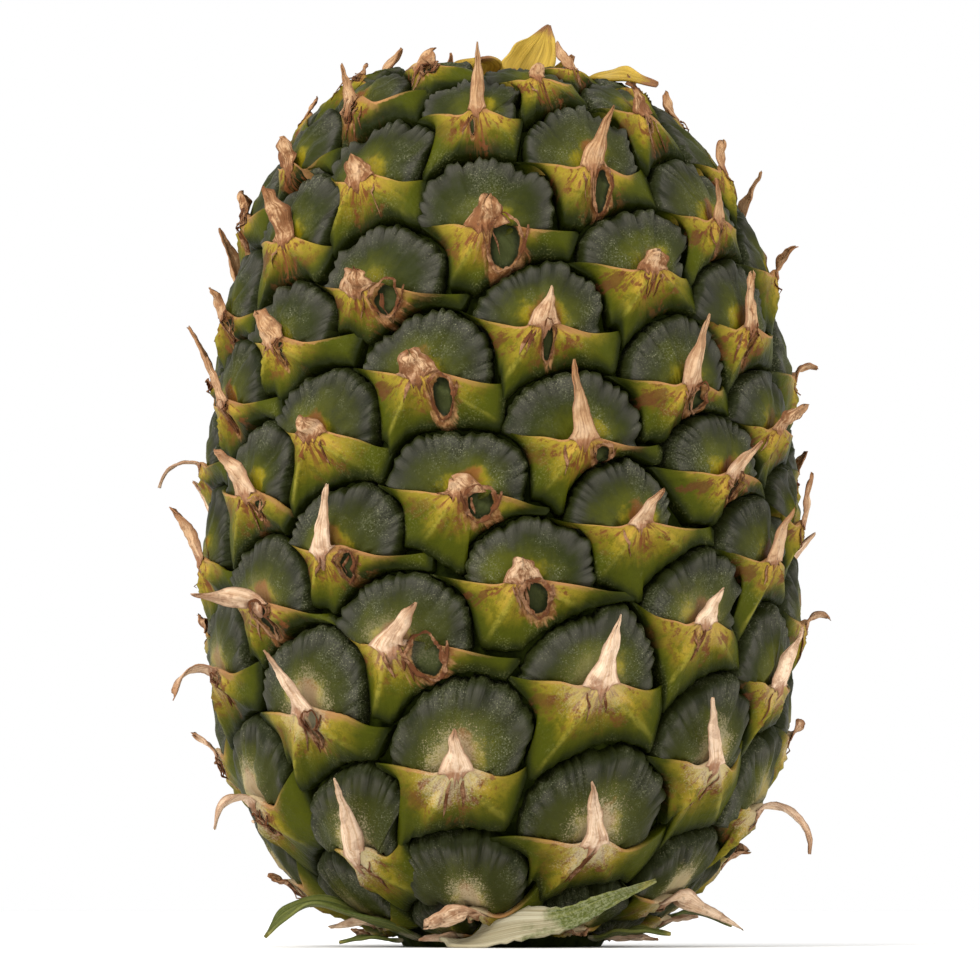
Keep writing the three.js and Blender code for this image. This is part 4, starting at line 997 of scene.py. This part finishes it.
def leaf_sheet(name, line, widths, face, dish, seed, waves=0.35, spines=0.0):
    """A leaf blade as a grid: rows run from the root to the end, columns across."""
    rows = np.linspace(0, 1, LEAF_ROWS)
    bones = np.array(line, float)
    before, after = np.vstack([2 * bones[0] - bones[1], bones[:-1]]), np.vstack([bones[1:],
                                                                                 2 * bones[-1] - bones[-2]])
    lean = (after - before) / 2
    station = rows * (len(bones) - 1)
    n = np.minimum(station.astype(int), len(bones) - 2)
    t = (station - n)[:, None]
    middle = ((2 * t**3 - 3 * t**2 + 1) * bones[n] + (t**3 - 2 * t**2 + t) * lean[n]
              + (3 * t**2 - 2 * t**3) * bones[n + 1] + (t**3 - t**2) * lean[n + 1])
    half = np.interp(station, range(len(widths)), widths) / 2
    ahead = np.gradient(middle, axis=0)
    ahead /= np.linalg.norm(ahead, axis=1)[:, None]
    looks = np.array(face[0])[None] * (1 - rows)[:, None] + np.array(face[1])[None] * rows[:, None]
    across = np.cross(ahead, looks)
    across /= np.linalg.norm(across, axis=1)[:, None]
    up = np.cross(across, ahead)
    side = np.linspace(-1, 1, LEAF_COLUMNS)
    ragged = 1 + 0.05 * np.sin(rows * 23 + seed * 9) + spines * np.abs(np.sin(rows * 52)) ** 3
    out = half[:, None] * side[None] * np.where(np.abs(side) > 0.99, ragged[:, None], 1)
    wave = waves * np.sin(2 * np.pi * (2.6 * rows[:, None] + seed)) * side[None] * np.minimum(1,
                                                                                              half / 3)[:,
                                                                                                        None]
    crease = 0.10 * np.abs(np.sin(side[None] * 7 + seed)) * np.minimum(1, half)[:, None]
    rise = dish * half[:, None] * side[None] ** 2 + wave + crease
    places = middle[:, None] + across[:, None] * out[..., None] + up[:, None] * rise[..., None]
    places[..., 2] = np.maximum(places[..., 2], 0.35)
    leaf = blank_sheet(name, LEAF_COLUMNS, LEAF_ROWS)
    place_points(leaf, places * 0.001)
    mark(leaf, "leaf_place", np.stack(np.broadcast_arrays(rows[:, None], side[None], seed), -1))
    blade = leaf.modifiers.new("blade", "SOLIDIFY")
    blade.thickness, blade.offset = 0.0006, 0.0
    bpy.ops.object.modifier_apply(modifier="blade")
    return leaf


paint = Paint("shaded_leaf")
along, side, seed = paint.parts("leaf_place")
seeded = paint.times(seed, 17.0)
vein = paint.noise(1.0, 3.0, 0.6,
                   place=paint.vector(paint.times(side, 7.0), paint.times(along, 1.2), seeded))
cloud = paint.noise(210.0, 4.0, 0.6)
uneven = paint.swing(cloud, 0.6)
paint.colour = paint.mix(paint.step(vein, 0.35, 0.65), (0.27, 0.175, 0.016), (0.44, 0.29, 0.04))
rooted = paint.step(paint.plus(along, uneven), 0.3, 0.02)
paint.lay((0.22, 0.21, 0.02), rooted)
dried = paint.step(paint.plus(paint.plus(along, uneven), paint.times(paint.math("ABSOLUTE", side), 0.12)),
                   0.84, 1.04)
paint.lay((0.2, 0.09, 0.035), dried)
spot = paint.step(paint.noise(330.0, 2.0, 0.5), 0.66, 0.72)
paint.lay((0.23, 0.11, 0.04), spot, 0.8)
paint.coat(0.6, 0.2)
paint.skin.inputs["Subsurface Weight"].default_value = 0.15
paint.skin.inputs["Subsurface Radius"].default_value = (0.004, 0.003, 0.001)
paint.relief(vein, 0.3)
for n, (name, (line, widths, face, dish)) in enumerate(CROWN_LEAVES.items()):
    leaf = leaf_sheet(f"torn_{name}", line, widths, face, dish, 0.17 + n * 0.31)
    finish_piece(leaf, paint.material, "crown_leaf", name)

# ---- The broken core of the crown ------------------------------------------------------------------------
# The crown's woody core snapped off here and left a splintered stub, pale ochre with brown fibres.

paint = Paint("torn_core")
spread = paint.noise(700.0, 4.0, 0.7)
broad = paint.noise(160.0, 3.0, 0.6)
paint.colour = paint.mix(paint.step(spread, 0.35, 0.65), (0.24, 0.13, 0.045), (0.55, 0.42, 0.19))
paint.lay((0.16, 0.075, 0.03), paint.step(broad, 0.5, 0.68), 0.7)
paint.coat(0.85, 0.1)
paint.relief(spread, 0.5)
CORE_RADIUS, CORE_COLUMNS, CORE_RINGS = 8.6, 97, 22
core = blank_sheet("snapped_core", CORE_COLUMNS, CORE_RINGS)
turn = np.linspace(0, 2 * np.pi, CORE_COLUMNS)
rng = np.random.default_rng(5)
splinter = np.interp(np.linspace(0, 48, CORE_COLUMNS), range(49), np.append(rng.uniform(0.2, 1, 48), 0.5))
splinter[-1] = splinter[0]
rings = [(CORE_RADIUS, 167.2 + 0 * turn), (CORE_RADIUS, 168.6 + 0 * turn)]
for share in np.linspace(1, 0.02, CORE_RINGS - 2):
    rough = 0.8 * np.sin(turn * 5 + share * 9) * share + 0.5 * np.sin(turn * 11 - share * 17) * share
    rings.append((CORE_RADIUS * share,
                  169.6 + 3.2 * splinter * share**5 + 0.5 * rough * (1 - share) + 0.9 * share))
places = np.array([np.stack([r * np.sin(turn), -r * np.cos(turn), z], -1) for r, z in rings])
place_points(core, places * 0.001)
finish_piece(core, paint.material, "core_break", "crown_core")

# ---- The stalk leaves ------------------------------------------------------------------------------------
# Small leaves grew on the stalk just under the fruit. They lie under its base: two green ones, a broad grey
# dry one with a spined edge at the front, and some slips at the sides and behind.

STALK_LEAVES = {
    "stalk_leaf_left": ([(-17, -14, 1.6), (-25, -19.5, 4.6), (-35.4, -22, 8.2), (-41.6, -23, 6.4),
                         (-46, -24, 2)],
                        [5, 7.4, 6.4, 4, 0.5], [(0.2, 0, 1), (-0.1, -0.5, 1)], 0.35),
    "stalk_leaf_thin": ([(-20, -16, 1.1), (-26, -20, 1.9), (-31.6, -22, 1)],
                        [2.6, 2.4, 0.5], [(0, 0, 1), (0, -0.4, 1)], 0.15),
    "stalk_leaf_front": ([(-8, -18, 1.2), (-6, -28, 1.8), (2, -35, 4.0), (12, -37.6, 5.4), (20, -39, 9),
                          (29.5, -38.5, 13)],
                         [8, 9.6, 8.4, 4.6, 2.8, 0.5], [(0, -0.5, 1), (-0.3, -1.6, 0.3)], 0.25),
    "stalk_leaf_dark": ([(18, -18, 1.4), (25.4, -23, 3.2), (32.6, -26, 2.6)],
                        [4.4, 4, 0.6], [(0, 0, 1), (0.1, -0.4, 1)], 0.2),
    "stalk_leaf_right": ([(19, 8, 1.2), (29, 13, 3), (38, 16, 6.4), (46, 17, 4)],
                         [5.6, 6.4, 4.8, 0.6], [(0, 0, 1), (0, 0, 1)], 0.3),
    "stalk_leaf_back": ([(8, 19, 1.2), (13, 28, 2.6), (17, 37, 6), (19, 46, 3.2)],
                        [6, 7.4, 5.6, 0.6], [(0, 0, 1), (0, 0, 1)], 0.3),
    "stalk_leaf_behind": ([(-13, 16, 1.2), (-21, 25, 2.6), (-29, 32, 1.8)],
                          [4.6, 4.6, 0.6], [(0, 0, 1), (0, 0, 1)], 0.2),
}


def stalk_leaf_paint(name, dry_to, dust):
    paint = Paint(name)
    along, side, seed = paint.parts("leaf_place")
    seeded = paint.times(seed, 17.0)
    vein = paint.noise(1.0, 3.0, 0.6,
                       place=paint.vector(paint.times(side, 11.0), paint.times(along, 1.5), seeded))
    cloud = paint.noise(190.0, 4.0, 0.6)
    uneven = paint.swing(cloud, 0.5)
    paint.colour = paint.mix(paint.step(vein, 0.35, 0.65), (0.04, 0.056, 0.005), (0.12, 0.13, 0.022))
    dusty = paint.times(paint.step(paint.noise(1500.0, 4.0, 0.8), 0.42, 0.62), dust)
    paint.lay((0.3, 0.31, 0.18), dusty)
    dried = paint.step(paint.plus(along, uneven), dry_to, dry_to - 0.14)
    hay = paint.mix(paint.step(vein, 0.3, 0.7), (0.24, 0.2, 0.11), (0.44, 0.4, 0.28))
    paint.lay(hay, dried)
    tip = paint.step(paint.plus(along, uneven), 0.9, 1.03)
    paint.lay((0.3, 0.25, 0.06), tip, 0.7)
    paint.coat(0.6, 0.2)
    paint.relief(vein, 0.35)
    return paint.material


fresh, weathered = stalk_leaf_paint("green_slip", 0.08, 0.1), stalk_leaf_paint("weathered_slip", 0.60, 0.5)
for n, (name, (line, widths, face, dish)) in enumerate(STALK_LEAVES.items()):
    front = name == "stalk_leaf_front"
    leaf = leaf_sheet(f"dried_{name}", line, widths, face, dish, 0.23 + n * 0.37, 0.35,
                      0.16 if front else 0.0)
    finish_piece(leaf, weathered if front else fresh, "stalk_leaf", name)

# ---- The cut stalk ---------------------------------------------------------------------------------------
# The stalk was cut flush with the base: a pale disc of wet fibre with a brown rim, seen from underneath.

paint = Paint("cut_stalk")
x, y, _ = paint.split(paint.object_place)
out_of_middle = paint.length(x, y)
pores = paint.noise(900.0, 3.0, 0.6)
spread = paint.shaken(out_of_middle, pores, 0.003)
paint.colour = paint.mix(paint.step(pores, 0.38, 0.6), (0.4, 0.27, 0.11), (0.66, 0.54, 0.3))
paint.lay((0.13, 0.065, 0.025), paint.step(spread, 0.01, 0.0126))
paint.coat(0.7, 0.2)
paint.relief(pores, 0.3)
deselect_all()
bpy.ops.mesh.primitive_cylinder_add(vertices=96, radius=0.0136, depth=0.0036, location=(0, 0, 0.0018))
stalk = bpy.context.object
stalk.name = stalk.data.name = "sawn_stalk"
bpy.ops.object.transform_apply(location=True, rotation=True, scale=True)
edge = stalk.modifiers.new("edge", "BEVEL")
edge.width, edge.segments, edge.limit_method = 0.0004, 3, "ANGLE"
bpy.ops.object.modifier_apply(modifier="edge")
stalk.data.materials.append(paint.material)
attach(stalk, "root")
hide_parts("stalk_end")

# ---- Floor, light and camera -----------------------------------------------------------------------------
# A pale sheet under the fruit, a broad soft light above and in front, and white all round.

deselect_all()
bpy.ops.mesh.primitive_plane_add(size=6.0, location=(0, 0, 0))
floor = bpy.context.object
floor.name = "floor"
pale = bpy.data.materials.new("pale_floor")
pale.use_nodes = True
pale.node_tree.nodes["Principled BSDF"].inputs["Base Color"].default_value = (0.94, 0.94, 0.94, 1)
pale.node_tree.nodes["Principled BSDF"].inputs["Roughness"].default_value = 0.9
floor.data.materials.append(pale)

world = bpy.data.worlds.new("white_room")
bpy.context.scene.world = world
world.use_nodes = True
world.node_tree.nodes["Background"].inputs["Color"].default_value = (1, 1, 1, 1)
world.node_tree.nodes["Background"].inputs["Strength"].default_value = 1.0
LAMPS = (("key", (-0.8, -1.5, 1.5), 0.8, 40.0), ("left", (-1.5, -0.5, 0.5), 0.9, 9.0),
         ("right", (1.5, -0.6, 0.6), 0.9, 11.0))
for name, place, size, power in LAMPS:
    lamp = bpy.data.lights.new(name, "AREA")
    lamp.size, lamp.energy, lamp.color = size, power, (1.0, 0.975, 0.94)
    holder = bpy.data.objects.new(name, lamp)
    bpy.context.collection.objects.link(holder)
    holder.location = place
    way = np.array(place) - np.array([0, 0, 0.09])
    holder.rotation_euler = (math.atan2(math.hypot(way[0], way[1]), way[2]), 0, math.atan2(way[0], -way[1]))

camera = bpy.data.cameras.new("camera")
camera.lens, camera.sensor_width = 231.6, 36.0
camera.clip_start, camera.clip_end = 0.05, 20.0
holder = bpy.data.objects.new("camera", camera)
bpy.context.collection.objects.link(holder)
CAMERA_AT, CAMERA_AIM = np.array([0.0, -1.25, 0.010]), np.array([-0.0024, 0.0, 0.0905])
way = CAMERA_AIM - CAMERA_AT
holder.location = CAMERA_AT
holder.rotation_euler = (math.pi / 2 + math.atan2(way[2], math.hypot(way[0], way[1])), 0,
                         -math.atan2(way[0], way[1]))
bpy.context.scene.camera = holder
bpy.context.scene.view_settings.view_transform = "Standard"

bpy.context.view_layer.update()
